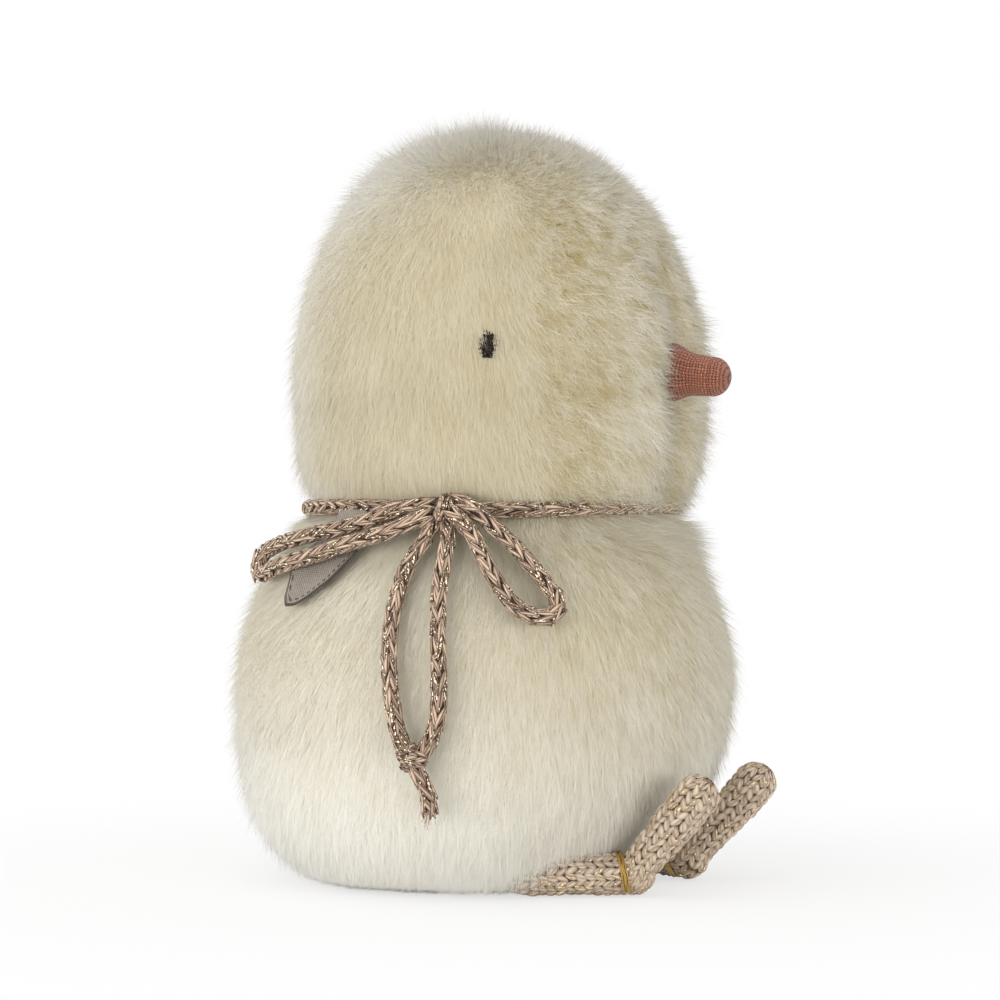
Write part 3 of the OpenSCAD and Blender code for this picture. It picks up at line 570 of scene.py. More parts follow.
def knitting():
    tree, bench, given = tree_with("knitting", [
        ("Path", "Geometry"), ("Stitch", "Object"), ("Columns", "Int"), ("Row height", "Float"), ("Lean", "Float"),
        ("Fatness", "Float"), ("Wander", "Float"), ("Seed", "Int"), ("Yarn", "Material")], "Knit")
    seed, height = given.of("Seed"), given.of("Row height")
    line = bench.add("GeometryNodeMeshToCurve", None, {"Mesh": given.of("Path")})
    halves = given.of("Columns") * 2
    rows = bench.add("GeometryNodeAttributeDomainSize", {"component": "CURVE"}, {"Geometry": line}, "Point Count")
    dots = bench.add("GeometryNodePoints", None, {"Count": halves * rows})
    index = bench.add("GeometryNodeInputIndex")
    row = (index / halves).floor()
    place = index - row * halves

    def at_row(value, kind="FLOAT_VECTOR"):
        return bench.add("GeometryNodeSampleIndex", {"data_type": kind, "domain": "POINT"}, {
            "Geometry": line, "Value": value, "Index": row})

    def wander(most, step):
        return given.of("Wander") * chance(bench, -most, most, seed + step)

    girth, slope = (at_row(attribute(bench, name), "FLOAT") for name in ("girth", "slope"))
    middle, tangent, normal = (
        at_row(bench.add("GeometryNodeInput" + name)) for name in ("Position", "Tangent", "Normal"))
    turn = (place + 0.5 + wander(0.6, 3)) / halves * (2 * math.pi)
    out = normal * turn.cosine() + tangent.cross(normal) * turn.sine()
    hoop = tangent.cross(out)
    parity = (place % 2) * 2 - 1
    yarn_line = tangent + out * slope + hoop * (parity * given.of("Lean") * (1 + wander(1.3, 2)))
    seat = middle + out * girth * (1 + wander(0.14, 4))
    set_down = bench.add("GeometryNodeSetPosition", None, {"Geometry": dots, "Position": seat})
    set_down = store(bench, set_down, "thread", chance(bench, 0.0, 1.0, seed))
    pitch = girth * (2 * math.pi) / halves
    grow = chance(bench, 0.84, 1.12, seed + 1)
    thick = pitch.least(height) * given.of("Fatness") * grow
    size = bench.vector(thick, pitch * OVERLAP_WIDE * grow, height * OVERLAP_TALL)
    stand = stood(bench, yarn_line, out - tangent * slope)
    end_tree(bench, planted(bench, set_down, given.of("Stitch"), stand, size), given.of("Yarn"))
    return tree


KNITTING = knitting()
print("knitting tree:", len(KNITTING.nodes), "nodes")

# %% [markdown]
# The cord's yarn is rose-beige and brown. Each ply has a painted paler crown, and painted shade darkens the grooves
# between plies and each stitch's ends. A flat gold thread shows on some stitches as bright flecks. Each stitch
# carries its own number and its own yarn direction, so the twist and the gold follow the thread.

# %% Yarn finishes


def yarn_recipe(pale, deep, gap_shade, gold, gold_share, strands, furrow):
    def recipe(bench):
        u, v = bench.map_of("yarn")
        place, thread = bench.place(), bench.mark("thread")
        turned = u * strands + v * 0.9 + thread * 3
        ply = abs((turned * math.pi).sine())
        number = bench.vector(turned.floor(), thread * 91.7, 0.0)
        own = bench.add("ShaderNodeTexWhiteNoise", {"noise_dimensions": "2D"}, {"Vector": number}, "Value")
        fibre = bench.noise(place, 5200, 2, 0.7)
        drift = bench.noise(place, 420, 2)
        # The strand's own tone and a slow drift are the yarn's colour; the ply term paints each ply paler at its
        # crown.
        shade = (own * 1.15 + drift * 0.3 + ply * 0.3 - 0.42).held()
        # Painted shade: the grooves between plies and the ends of each half stitch, where it tucks under the next,
        # darken to the gap colour.
        groove_shade = (1 - ply) ** 2.0 * furrow
        ends = (abs(v - 0.5) * 2) ** 3.0 * 0.85
        colour = bench.mix(groove_shade.most(ends).held(), bench.mix(shade, deep, pale), gap_shade)
        glint = bench.noise(place, 2300, 1, 0.5)
        lit_thread = ((own < gold_share) * (ply > 0.45) * (glint > 0.55)).held()
        return {"Base Color": bench.mix(lit_thread, colour, gold), "Roughness": 0.86 - lit_thread * 0.62,
                "Metallic": lit_thread * 0.9, "Normal": bench.bump(ply + fibre * 0.4, 0.00016, 0.9),
                "Sheen Weight": 0.08, "Sheen Roughness": 0.5}
    return recipe


def core_recipe(dark, pale):
    def recipe(bench):
        place = bench.place()
        mottle = bench.noise(place, 900, 3, 0.6)
        return {"Base Color": bench.mix(mottle, dark, pale), "Roughness": 0.9 - mottle * 0.1,
                "Normal": bench.bump(bench.noise(place, 3000, 2), 0.0001, 0.6)}
    return recipe


# The gap colour is painted shade in the grooves of the yarn.
CORD_YARN = finish_of("cord_yarn", yarn_recipe(
    pale=(0.73, 0.53, 0.38), deep=(0.12, 0.055, 0.026), gap_shade=(0.012, 0.005, 0.002), gold=(1.0, 0.86, 0.62),
    gold_share=0.34, strands=4, furrow=1.0))
# Near black: painted shade for the holes between stitches.
CORD_CORE_SHADE = finish_of("cord_core_shade", core_recipe((0.015, 0.007, 0.004), (0.07, 0.035, 0.018)))
print("finishes:", CORD_YARN.name, CORD_CORE_SHADE.name)

# %% [markdown]
# To knit a path, its rows are spaced evenly along the tube's skin and not along its middle line,
# so that a closing toe or the outside of a bend gets the stitches it needs. The core is joined in at the end.

# %% Knit any path
FATNESS = 0.8
CORD_COLUMNS, CORD_CORE_R, STITCH_DEEP = 4, 1.05, 0.45


def joined(first, *others):
    """The first object with the others' meshes in it."""
    chosen = [first, *others]
    with bpy.context.temp_override(
            active_object=first, object=first, selected_objects=chosen, selected_editable_objects=chosen):
        bpy.ops.object.join()
    return first


def knitted(name, path, girth, core, columns, row_height, finishes, lean, wander, seed, around, closed=False):
    """Stitches on a path over a swept core. The finishes are the yarn's and the core's."""
    girth = np.broadcast_to(np.asarray(girth, float), (len(path),))
    lap_path, lap_girth = (np.vstack([path, path[:1]]), np.append(girth, girth[0])) if closed else (path, girth)
    far = distances(lap_path)
    ways = unit(np.diff(lap_path, axis=0))
    turning = np.append(np.linalg.norm(np.diff(ways, axis=0), axis=1), 0) * lap_girth[1:] * 0.6
    skin = np.concatenate([[0], np.cumsum(np.hypot(np.diff(far) + turning, np.diff(lap_girth)))])
    rows = max(2, int(round(skin[-1] / row_height)))
    height = skin[-1] / rows
    spots = np.interp((np.arange(rows) + 0.5) * height, skin, far)
    slope = np.clip(np.gradient(lap_girth, far), -4, 4)
    links = [(k, k + 1) for k in range(rows - 1)] + ([(rows - 1, 0)] if closed else [])
    row_mesh = bpy.data.meshes.new(name + "_rows")
    row_mesh.from_pydata([tuple(p) for p in points_at(spots, far, lap_path) * MM], links, [])
    note(row_mesh, "girth", np.interp(spots, far, lap_girth) * MM)
    note(row_mesh, "slope", np.interp(spots, far, slope))
    # The core's dark finish is painted shade in the holes between the stitches.
    yarn, core_shade_finish = finishes
    made = new_object(name, run_tree(new_object(name + "_rows", row_mesh), KNITTING, {
        "Stitch": STITCH, "Columns": columns, "Row height": height * MM, "Lean": lean, "Fatness": FATNESS,
        "Wander": wander, "Seed": seed, "Yarn": yarn}, name))
    under = mesh_of(name + "_core", *swept(path, core, around, closed))
    under.materials.append(core_shade_finish)
    return joined(made, new_object(name + "_core", under))


def ease(low, high, x):
    t = np.clip((x - low) / (high - low), 0, 1)
    return t * t * (3 - 2 * t)


def cord_piece(name, path, seed, closed=False, row_height=3.0, drawn_in=False):
    """One cord. Its core always narrows at an open end, and its stitches do where the end is drawn in."""
    far = distances(path)
    ends = np.full(len(path), 1.0) if closed else 0.3 + 0.7 * ease(0, 1.6, np.minimum(far, far[-1] - far))
    girth = (CORD_R - STITCH_DEEP) * (ends if drawn_in else 1)
    return knitted(name, path, girth, CORD_CORE_R * ends, CORD_COLUMNS, row_height, (CORD_YARN, CORD_CORE_SHADE),
                   lean=0.26, wander=0.4, seed=seed, around=12, closed=closed)


print("knitting is ready for paths")

# %% [markdown]
# The bow is four cords: two loops that go back into the knot, and two tails that end in their own knot.
# Each is knitted along its route, rides on the chick and has its length printed. A chain-knit cord is limp and hangs
# by its own weight.

# %% Bow cords
CORD_OF = {"cord_loop_rear": "bow_loop_rear", "cord_loop_front": "bow_loop_front",
           "cord_tail_rear": "bow_tail_rear", "cord_tail_front": "bow_tail_front"}
cords = {}
for seed, (name, node) in enumerate(CORD_OF.items(), 3):
    cords[name] = cord_piece(name, PATHS[node], seed)
    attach(cords[name], "chick")
    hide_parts(node)
    print(name, len(cords[name].data.polygons), "faces,", round(route_length(PATHS[node]), 1), "mm")

# %% [markdown]
# The knots are the same cord wrapped on itself.
# The bow's knot is one upright turn over the neck tie, and the tails' knot is a coil of a turn and a half.

# %% Knots
RIGHT, BACK, UP = np.eye(3)
turn = np.linspace(0, 2 * np.pi, 28, endpoint=False)[:, None]
wrap = (KNOT + KNOT_OUT * (0.2 + 1.35 * np.cos(turn)) + UP * 1.45 * np.sin(turn)
        + KNOT_SIDE * 0.7 * np.sin(turn + 0.6))
bow_knot = cord_piece("knot_of_bow", smooth_route(wrap, closed=True), 11, closed=True, row_height=1.15)
turn = np.linspace(-0.6, 2 * np.pi * 1.35, 26)[:, None]
coil = TAIL_KNOT + RIGHT * 1.3 * np.cos(turn) + BACK * 1.45 * np.sin(turn) + UP * (1.5 - turn * 0.36)
tail_knot = cord_piece("knot_of_tails", smooth_route(coil), 12, row_height=1.5, drawn_in=True)
stub = cord_piece("cut_end", PATHS["tail_stub"], 13)
for piece, node in ((bow_knot, "bow_knot"), (tail_knot, "tail_knot"), (stub, "tail_stub")):
    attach(piece, "chick")
    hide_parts(node)
print("knots:", bow_knot.name, tail_knot.name)

# %% [markdown]
# Below the tails' knot the cord is cut, and its end comes apart into loose threads.
# Each thread is a thin tube along a short bent path, drawn by seeded chance so that every run gives the same fray.

# %% Cut end
dice = np.random.default_rng(7)
end, back = PATHS["tail_stub"][-1], unit(PATHS["tail_stub"][-1] - PATHS["tail_stub"][-6])
strands = []
for _ in range(16):
    spread = unit(back + dice.normal(0, 0.3, 3))
    start = end - back * 1.2 + dice.normal(0, 0.45, 3)
    bend = dice.normal(0, 0.5, 3)
    reach = dice.uniform(1.6, 3.6)
    strand = smooth_route([start, start + spread * reach * 0.5 + bend * 0.3, start + spread * reach + bend], 0.5)
    strands.append((strand, np.linspace(0.13, 0.07, len(strand)), 5))
fray_mesh = mesh_of("frayed_threads", *bundle(strands))
fray_mesh.materials.append(finish_of("loose_thread", core_recipe((0.42, 0.3, 0.23), (0.62, 0.47, 0.38))))
fray = new_object("frayed_threads", fray_mesh)
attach(fray, "chick")

print("cords declared, and", len(fray_mesh.polygons), "faces of frayed thread")

# %% [markdown]
# The neck tie is pulled snug into the groove between head and body.
# It can't hang, so it is an ordinary piece on the chick and not a free cord.

# %% Neck tie
NECK_R, NECK_Y, NECK_Z = 34.65, -4.5, 70
KNOT_TURN, KNOT_GAP = 191, 5
lap = np.linspace(np.radians(KNOT_TURN + KNOT_GAP), np.radians(KNOT_TURN + 360 - KNOT_GAP), 90)
neck_path = np.stack([NECK_R * np.cos(lap), NECK_Y + NECK_R * np.sin(lap), NECK_Z + 0.25 * np.sin(3 * lap)], 1)
neck_tie = cord_piece("neck_tie", smooth_route(neck_path), 21)
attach(neck_tie, "chick")
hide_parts("neck_cord")
print("neck tie:", round(route_length(neck_path), 1), "mm")

# %% [markdown]
# The label is a narrow woven ribbon that hangs from the neck tie and spreads to a rounded end under the rear loop.
# It is a thin sheet with a little curl, laid in the plane that its solid takes on the shoulder.
# Its weave and dashed edging are drawn from its own map, and its face is left bare of any words.

# %% Label seat
BODY_Y, BODY_R, BELLY_Z = -3.0, 47.5, 33
LABEL_TURN, LABEL_Z = math.radians(160.6), 59.2
LABEL_WIDE, LABEL_LONG, LABEL_TOP = 16, 20, 11.5
OUTLINE = np.array([(-0.1, 0), (0.39, 0), (0.525, -0.405), (0.212, -0.725), (-0.225, -0.985), (-0.337, -1),
                    (-0.412, -0.905), (-0.475, -0.565), (-0.088, -0.175)])
OUTLINE = OUTLINE * (LABEL_WIDE, LABEL_LONG) + (0, LABEL_TOP)


def body_profile(z):
    """The body's radius at a height: fullest at the belly, drawn in to the base and to the shoulder."""
    z = np.asarray(z, float)
    to_base = BODY_R - 13.5 * (np.maximum(BELLY_Z - z, 0) / 32.5) ** 3
    to_shoulder = BODY_R - 12.5 * (np.maximum(z - BELLY_Z, 0) / 35) ** 2.2
    return np.where(z < BELLY_Z, to_base, to_shoulder)


turn_x, turn_y = math.cos(LABEL_TURN), math.sin(LABEL_TURN)
seat_r = float(body_profile(LABEL_Z))
lean = math.atan(float(body_profile(LABEL_Z - 0.5) - body_profile(LABEL_Z + 0.5)))
seat = np.array((seat_r * turn_x, seat_r * turn_y + BODY_Y, LABEL_Z))
label_x = np.array((-turn_y, turn_x, 0.0))
label_out = np.array((turn_x * math.cos(lean), turn_y * math.cos(lean), math.sin(lean)))
label_up = np.cross(label_out, label_x)
print("label seat", seat.round(2), "lean", round(math.degrees(lean), 1))

# %% Label
LABEL_THICK = 0.28
HEM_TOP = 3.2


def label_mesh():
    """A fine grid cut to the label's outline, with a soft curl, two faces and an edge."""
    centre = OUTLINE.mean(0)
    share = np.linspace(0, 1, 14, endpoint=False)[:, None]
    dense = np.vstack([a + (b - a) * share for a, b in zip(OUTLINE, np.roll(OUTLINE, -1, 0))])
    for _ in range(5):
        dense = (np.roll(dense, 1, 0) + dense * 2 + np.roll(dense, -1, 0)) / 4
    rings = np.linspace(1, 0.05, 14)
    flat = np.vstack([centre + (dense - centre) * k for k in rings] + [centre[None]])
    n, under = len(dense), len(flat)
    faces = ring_faces(len(rings), n, high=under - 1)
    faces += [tuple(under + i for i in reversed(f)) for f in faces]
    faces += [(k, under + k, under + (k + 1) % n, (k + 1) % n) for k in range(n)]
    x, y = flat.T
    lift = 0.75 + 0.012 * (x - 1) ** 2 * 0.3 + 0.22 * np.sin(y * 0.45 + 1) + 0.12 * np.sin(x * 0.8)
    face = seat + x[:, None] * label_x + y[:, None] * label_up + (lift + LABEL_THICK)[:, None] * label_out
    mesh = mesh_of("woven_label", np.vstack([face, face - LABEL_THICK * label_out]), faces)
    lay = mesh.uv_layers.new(name="weave")
    for loop in mesh.loops:
        lay.data[loop.index].uv = flat[loop.vertex_index % under]
    rim = np.append(np.repeat(1 - rings, n), 1.0)
    note(mesh, "rim", np.concatenate([rim, rim]))
    dx, dy = dense.T
    area = 0.5 * abs(np.sum(dx * np.roll(dy, -1) - dy * np.roll(dx, -1)))
    return mesh, area, dense.max(0) - dense.min(0)


def ribbon_recipe(bench):
    def ribs(run, pitch):
        return (run * (2 * math.pi / pitch)).sine()

    x, y = bench.map_of("weave")
    rim = bench.mark("rim")
    weft = ribs(y, 0.42) * 0.5 + 0.5
    twill = ribs(x + y * 0.8, 0.55) * 0.5 + 0.5
    drift = bench.noise(bench.place(), 700, 3, 0.6)
    colour = bench.mix((twill * 0.55 + drift * 0.6 - 0.1).held(), (0.17, 0.14, 0.11), (0.37, 0.32, 0.265))
    dash = ribs(x * 0.75 + y * 0.9, 1.5) > -0.1
    band = (rim > 0.11) * (rim < 0.17) * dash * (y < HEM_TOP)
    cut = (rim < 0.06) * (y < HEM_TOP)
    colour = bench.mix((band * 0.9 + cut * 0.9).held(), colour, (0.03, 0.02, 0.015))
    return {"Base Color": colour, "Roughness": 0.78 - twill * 0.12,
            "Normal": bench.bump(twill * 0.8 + weft * 0.6, 0.00012, 0.7), "Sheen Weight": 0.2, "Sheen Roughness": 0.4}


woven, label_area, label_reach = label_mesh()
woven.materials.append(finish_of("woven_ribbon", ribbon_recipe))
label = new_object("woven_label", woven)
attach(label, "chick")
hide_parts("label")
label_area * MM * MM
print("label", label_reach.round(1), "mm, area", round(label_area, 1), "mm2")

# %% [markdown]
# Head and body are bags of fur cloth, stuffed firm. Each is a stack of rings that repeats the part's own outline,
# drawn in by the depth of the pile so that the fur's tips end where the solid's surface is.
# The body is open at the base for the motor's cover, and the head has the dimple that the beak sits in.
# A soft furrow runs through that dimple down the middle of the face, where the head's two halves are sewn together.

# %% Plush rings
ROUND = 168
TURN = np.linspace(0, 2 * np.pi, ROUND, endpoint=False)
PILE = 2.2
TUCK_R, TUCK_BACK, TUCK_Z = 53.5, 5, 43.5
HEAD_R, HEAD_Y, HEAD_Z, HEAD_RISE = 39, -6.0, 95, 46
DIMPLE_R, DIMPLE_FAR = 12, 47.5
FURROW_DEEP, FURROW_WIDE = 3.6, 5.0


def soft_min(a, b, blend):
    h = np.clip(0.5 + 0.5 * (b - a) / blend, 0, 1)
    return b * (1 - h) + a * h - blend * h * (1 - h)


def ring_at(radius, y, z):
    radius = np.broadcast_to(radius, TURN.shape)
    return np.stack([radius * np.cos(TURN), y + radius * np.sin(TURN), np.full(ROUND, float(z))], 1)


def body_ring(z):
    """A ring of the body's outline, tucked in at the front by a ball that is set back."""
    s, back = np.sin(TURN), TUCK_BACK**2
    tuck = TUCK_BACK * s + np.sqrt(back * s * s - back + TUCK_R**2 - (z - TUCK_Z) ** 2)
    return ring_at(soft_min(float(body_profile(z)), tuck, 3.0) - PILE, BODY_Y, z)


def head_ring(radius, z):
    """A ring of the head's outline, with the beak's dimple and the furrow pressed into its front."""
    s, d = np.sin(TURN), DIMPLE_R + PILE
    inside = (DIMPLE_FAR * s) ** 2 - (DIMPLE_FAR**2 + (z - HEAD_Z) ** 2 - d * d)
    dent = np.where((s < 0) & (inside > 0), -DIMPLE_FAR * s - np.sqrt(np.maximum(inside, 0)), radius + 20)
    furrow = FURROW_DEEP * np.exp(-((radius * np.cos(TURN) / FURROW_WIDE) ** 2)) * (s < 0)
    return ring_at(soft_min(radius, dent, 3.5) - furrow * ease(71, 80, z) * ease(124, 108, z), HEAD_Y, z)


print("rings of", ROUND, "points, the pile's", PILE, "mm inside the solids")

# %% Plush forms
HOLLOW_R, HOLLOW_TOP = 27.0, 61
JAW_IN, JAW_DEEP, CROWN_POWER = 4, 23, 2.25


def stacked(name, rings, low_pole, high_pole):
    points = np.vstack(rings + [np.array([low_pole, high_pole])])
    faces = ring_faces(len(rings), ROUND, len(points) - 2, len(points) - 1)
    return new_object(name, mesh_of(name, points, faces))


hollow = [ring_at(20, 0, HOLLOW_TOP), ring_at(26.8, 0, 60.4)] + [ring_at(HOLLOW_R, 0, z) for z in (40, 20, 1.4)]
heights = np.concatenate([np.linspace(1.7, 8, 7), np.linspace(10, 62, 34), np.linspace(63, 67.4, 6)])
outside = [ring_at(27.4, -0.2, 0.9)] + [body_ring(z) for z in heights]
shoulder = [ring_at(31.9, -4.2, 68.6), ring_at(31.2, NECK_Y, 69.8), ring_at(28, NECK_Y, 70.4)]
plush_body = stacked("plush_body", hollow + outside + shoulder, (0, 0, HOLLOW_TOP), (0, NECK_Y, 70.5))
heights = np.concatenate([[72.3, 73.2], np.linspace(74.5, HEAD_Z, 15)])
jaw = [head_ring(HEAD_R - JAW_IN * ((HEAD_Z - z) / JAW_DEEP) ** 4 - PILE, z) for z in heights]
angles = np.radians(np.concatenate([np.linspace(2.5, 70, 27), [74, 78, 81.5, 84.5, 87]]))
crown = [head_ring((HEAD_R - PILE) * math.cos(a) ** (2 / CROWN_POWER), HEAD_Z + (HEAD_RISE - PILE) * math.sin(a))
         for a in angles]
plush_head = stacked("plush_head", [ring_at(29.5, -5.4, 71.3)] + jaw + crown,
                     (0, -5.4, 71.2), (0, HEAD_Y, HEAD_Z + HEAD_RISE - PILE))
print("plush:", len(plush_body.data.polygons), "and", len(plush_head.data.polygons), "faces")

# %% [markdown]
# Under the pile there is a knitted backing, which only shows as a warm shadow between the hairs.
# Noise between two warm creams is enough there, because no stitch of it can be told from the next.

# %% Backing cloth


def backing_recipe(bench):
    place = bench.place()
    tone = bench.noise(place, 240, 3, 0.6)
    return {"Base Color": bench.mix(tone, (0.55, 0.47, 0.31), (0.66, 0.59, 0.43)), "Roughness": 0.92 - tone * 0.06,
            "Normal": bench.bump(bench.noise(place, 1800, 2), 0.0002, 0.7)}


BACKING = finish_of("fur_backing", backing_recipe)
for piece, nodes, fill in ((plush_body, ("body_skin", "body_stuffing"), 0.85),
                           (plush_head, ("head_skin", "head_stuffing"), 0.9)):
    piece.data.materials.append(BACKING)
    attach(piece, "chick")
    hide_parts(*nodes)
print("backing on head and body")

# %% [markdown]
# The fur is a dense pile of separate hairs, combed down on the body and forward and down on the face.
# Round the face it is brushed up into small curly tufts, with warm roots and painted shade between pale tips.
# Each skin point gets the pile's traits first: which way it is combed, how far it stands up and strays, how long,
# how tufted and how pale it is, a paleness that also holds painted light and shade. They are sums of soft steps,
# whose limits are heights and distances in millimetres.

# %% Head traits
EYES = [np.array((-36.25, -20.65, 99.0)), np.array((36.25, -20.65, 99.0))]
BEAK_ROOT = np.array((0.0, -41.5, 95.0))
FACE_EDGE, FACE_FULL = math.cos(math.radians(64)), math.cos(math.radians(44))


def along_skin(v, n):
    return v - n * np.sum(v * n, 1, keepdims=True)


def skin_points(piece):
    count = len(piece.data.vertices)
    p, n = np.zeros(count * 3), np.zeros(count * 3)
    piece.data.vertices.foreach_get("co", p)
    piece.data.vertices.foreach_get("normal", n)
    return p.reshape(-1, 3) / MM, n.reshape(-1, 3)


def head_traits(p, n):
    x, y, z = p.T
    ahead = -(y - HEAD_Y) / np.maximum(np.hypot(x, y - HEAD_Y), 4)
    face = ease(FACE_EDGE, FACE_FULL, ahead) * ease(140, 128, z)
    top = ease(118, 138, z)
    eye = np.min([np.linalg.norm(p - e, axis=1) for e in EYES], 0)
    beak = np.linalg.norm(p - BEAK_ROOT, axis=1)
    ruff = ease(11, 6.5, beak)
    # Painted shade: hair in the furrow down the middle of the face is darker.
    seam = np.exp(-((x / 4.0) ** 2)) * face * ease(124, 112, z)
    way = np.stack([0 * x, -0.15 - 0.65 * face - 0.8 * ruff, -1 + 0.2 * face + 0.7 * ruff], 1)
    brow = ease(-0.5, 0.2, ahead) * ease(108, 122, z)
    # Painted rim light: hair is paler where the skin faces across the camera's view, off the face and brow.
    painted_rim_light = ease(0.92, 0.55, np.abs(n[:, 0])) * (1 - face) * (1 - brow)
    by_eye = 0.6 + 0.4 * ease(2.5, 6.5, eye)
    by_beak = 0.8 + 0.2 * ease(6, 12, beak)
    by_neck = 0.68 + 0.32 * np.maximum(ease(72, 78, z), face)
    on_brow = 1 - 0.3 * ease(104, 116, z) * ease(0.0, 0.6, ahead)
    return {
        "comb": unit(along_skin(way, n)) * (1 - 0.75 * ease(124, 137, z))[:, None],
        "lift": 0.38 + 0.38 * face + 0.25 * top + 0.35 * ruff,
        "long": by_eye * by_beak * by_neck * (1 - 0.08 * face) * on_brow,
        "tuft": 0.02 + 0.7 * face,
        "stray": 0.36 + 0.6 * face,
        # The tone holds painted light and shade: darker in the furrow, paler at the back and top edges and on the
        # crown.
        "tone": (0.38 + 0.06 * face + 0.18 * face * ease(0.7, 0.97, ahead)
                 - 0.24 * seam + 0.2 * painted_rim_light + 0.13 * top),
        "cover": 1 + 0 * z}


def told(traits):
    """The mean of each trait that is a plain number."""
    return {name: round(float(value.mean()), 2) for name, value in traits.items() if value.ndim == 1}


HEAD_TRAITS = head_traits(*skin_points(plush_head))
print("head", told(HEAD_TRAITS))

# %% Body traits
HIPS = [np.array((-25.0, -17.0, 8.0)), np.array((25.0, -17.0, 8.0))]
EYELET_BARE = 5.6
eyelet_low, eyelet_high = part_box("key_eyelet")
EYELET = np.array((eyelet_low + eyelet_high) / 2) / MM


def body_traits(p, n):
    x, y, z = p.T
    down = unit(along_skin(np.tile((0.0, 0.12, -1.0), (len(p), 1)), n))
    out = unit(np.stack([x, y - BODY_Y, 0 * x], 1))
    behind = out[:, 1]
    hem = ease(9, 1.5, z)
    front = ease(0.25, 0.85, -behind)
    eyelet = np.linalg.norm(p - EYELET, axis=1)
    veil = ease(13, 7, np.min([np.linalg.norm(p - hip, axis=1) for hip in HIPS], 0))
    breast = front * ease(56, 66, z)
    collar = ease(0.75, 0.96, -behind) * ease(60, 66, z)
    # Painted shade on the upper back.
    back = ease(0.1, 0.7, behind) * ease(30, 46, z)
    by_neck = 0.72 + 0.28 * np.maximum(ease(69, 62, z), front)
    by_hem = 1 - 0.3 * hem * ease(-0.5, 0.6, behind)
    by_eyelet = 0.5 + 0.5 * ease(6, 10, eyelet)
    return {
        "comb": unit(down + along_skin(out, n) * (0.5 * hem)[:, None]),
        "lift": 0.34 + 0.12 * front + 0.45 * breast + 0.9 * collar + 0.3 * veil,
        "long": by_neck * by_hem * by_eyelet * (1 + 0.5 * veil + 0.3 * collar),
        "tuft": 0.02 + 0.26 * front,
        "stray": 0.36 + 0 * z,
        # The tone holds painted shade on the front and the upper back, and painted light from the floor that makes
        # the lower body paler.
        "tone": 0.58 - 0.08 * front - 0.1 * back + 0.36 * ease(48, 8, z),
        "cover": 1.0 * (eyelet > EYELET_BARE)}


BODY_TRAITS = body_traits(*skin_points(plush_body))
print("body", told(BODY_TRAITS))

# %% [markdown]
# One hair is a thin spike of three triangles, so that it shows an outer face from every side,
# and carries how far along a point is.
# A Geometry Nodes tree sows hairs on the skin, turns each to its combing, then bends it, curls it and draws it
# to its tuft. A hair's map holds only its tone and the place along it, so that one small picture colours every hair.

# %% One hair


def one_hair():
    points = np.array([(0.5, 0, 0), (-0.25, 0.43, 0), (-0.25, -0.43, 0), (0, 0, 1)])
    mesh = bpy.data.meshes.new("one_hair")
    mesh.from_pydata([tuple(p) for p in points], [], [(0, 1, 3), (1, 2, 3), (2, 0, 3)])
    note(mesh, "along", points[:, 2])
    note(mesh, "side", points[:, 0])
    return new_object("one_hair", mesh)


HAIR = one_hair()
print("hair:", [round(x, 2) for x in HAIR.data.polygons[0].normal])

# %% Pile tree
WISP = 0.42
CURL_FINE, CURL_BROAD, PATCHES = 460, 95, 130
LOWEST = 0.0003


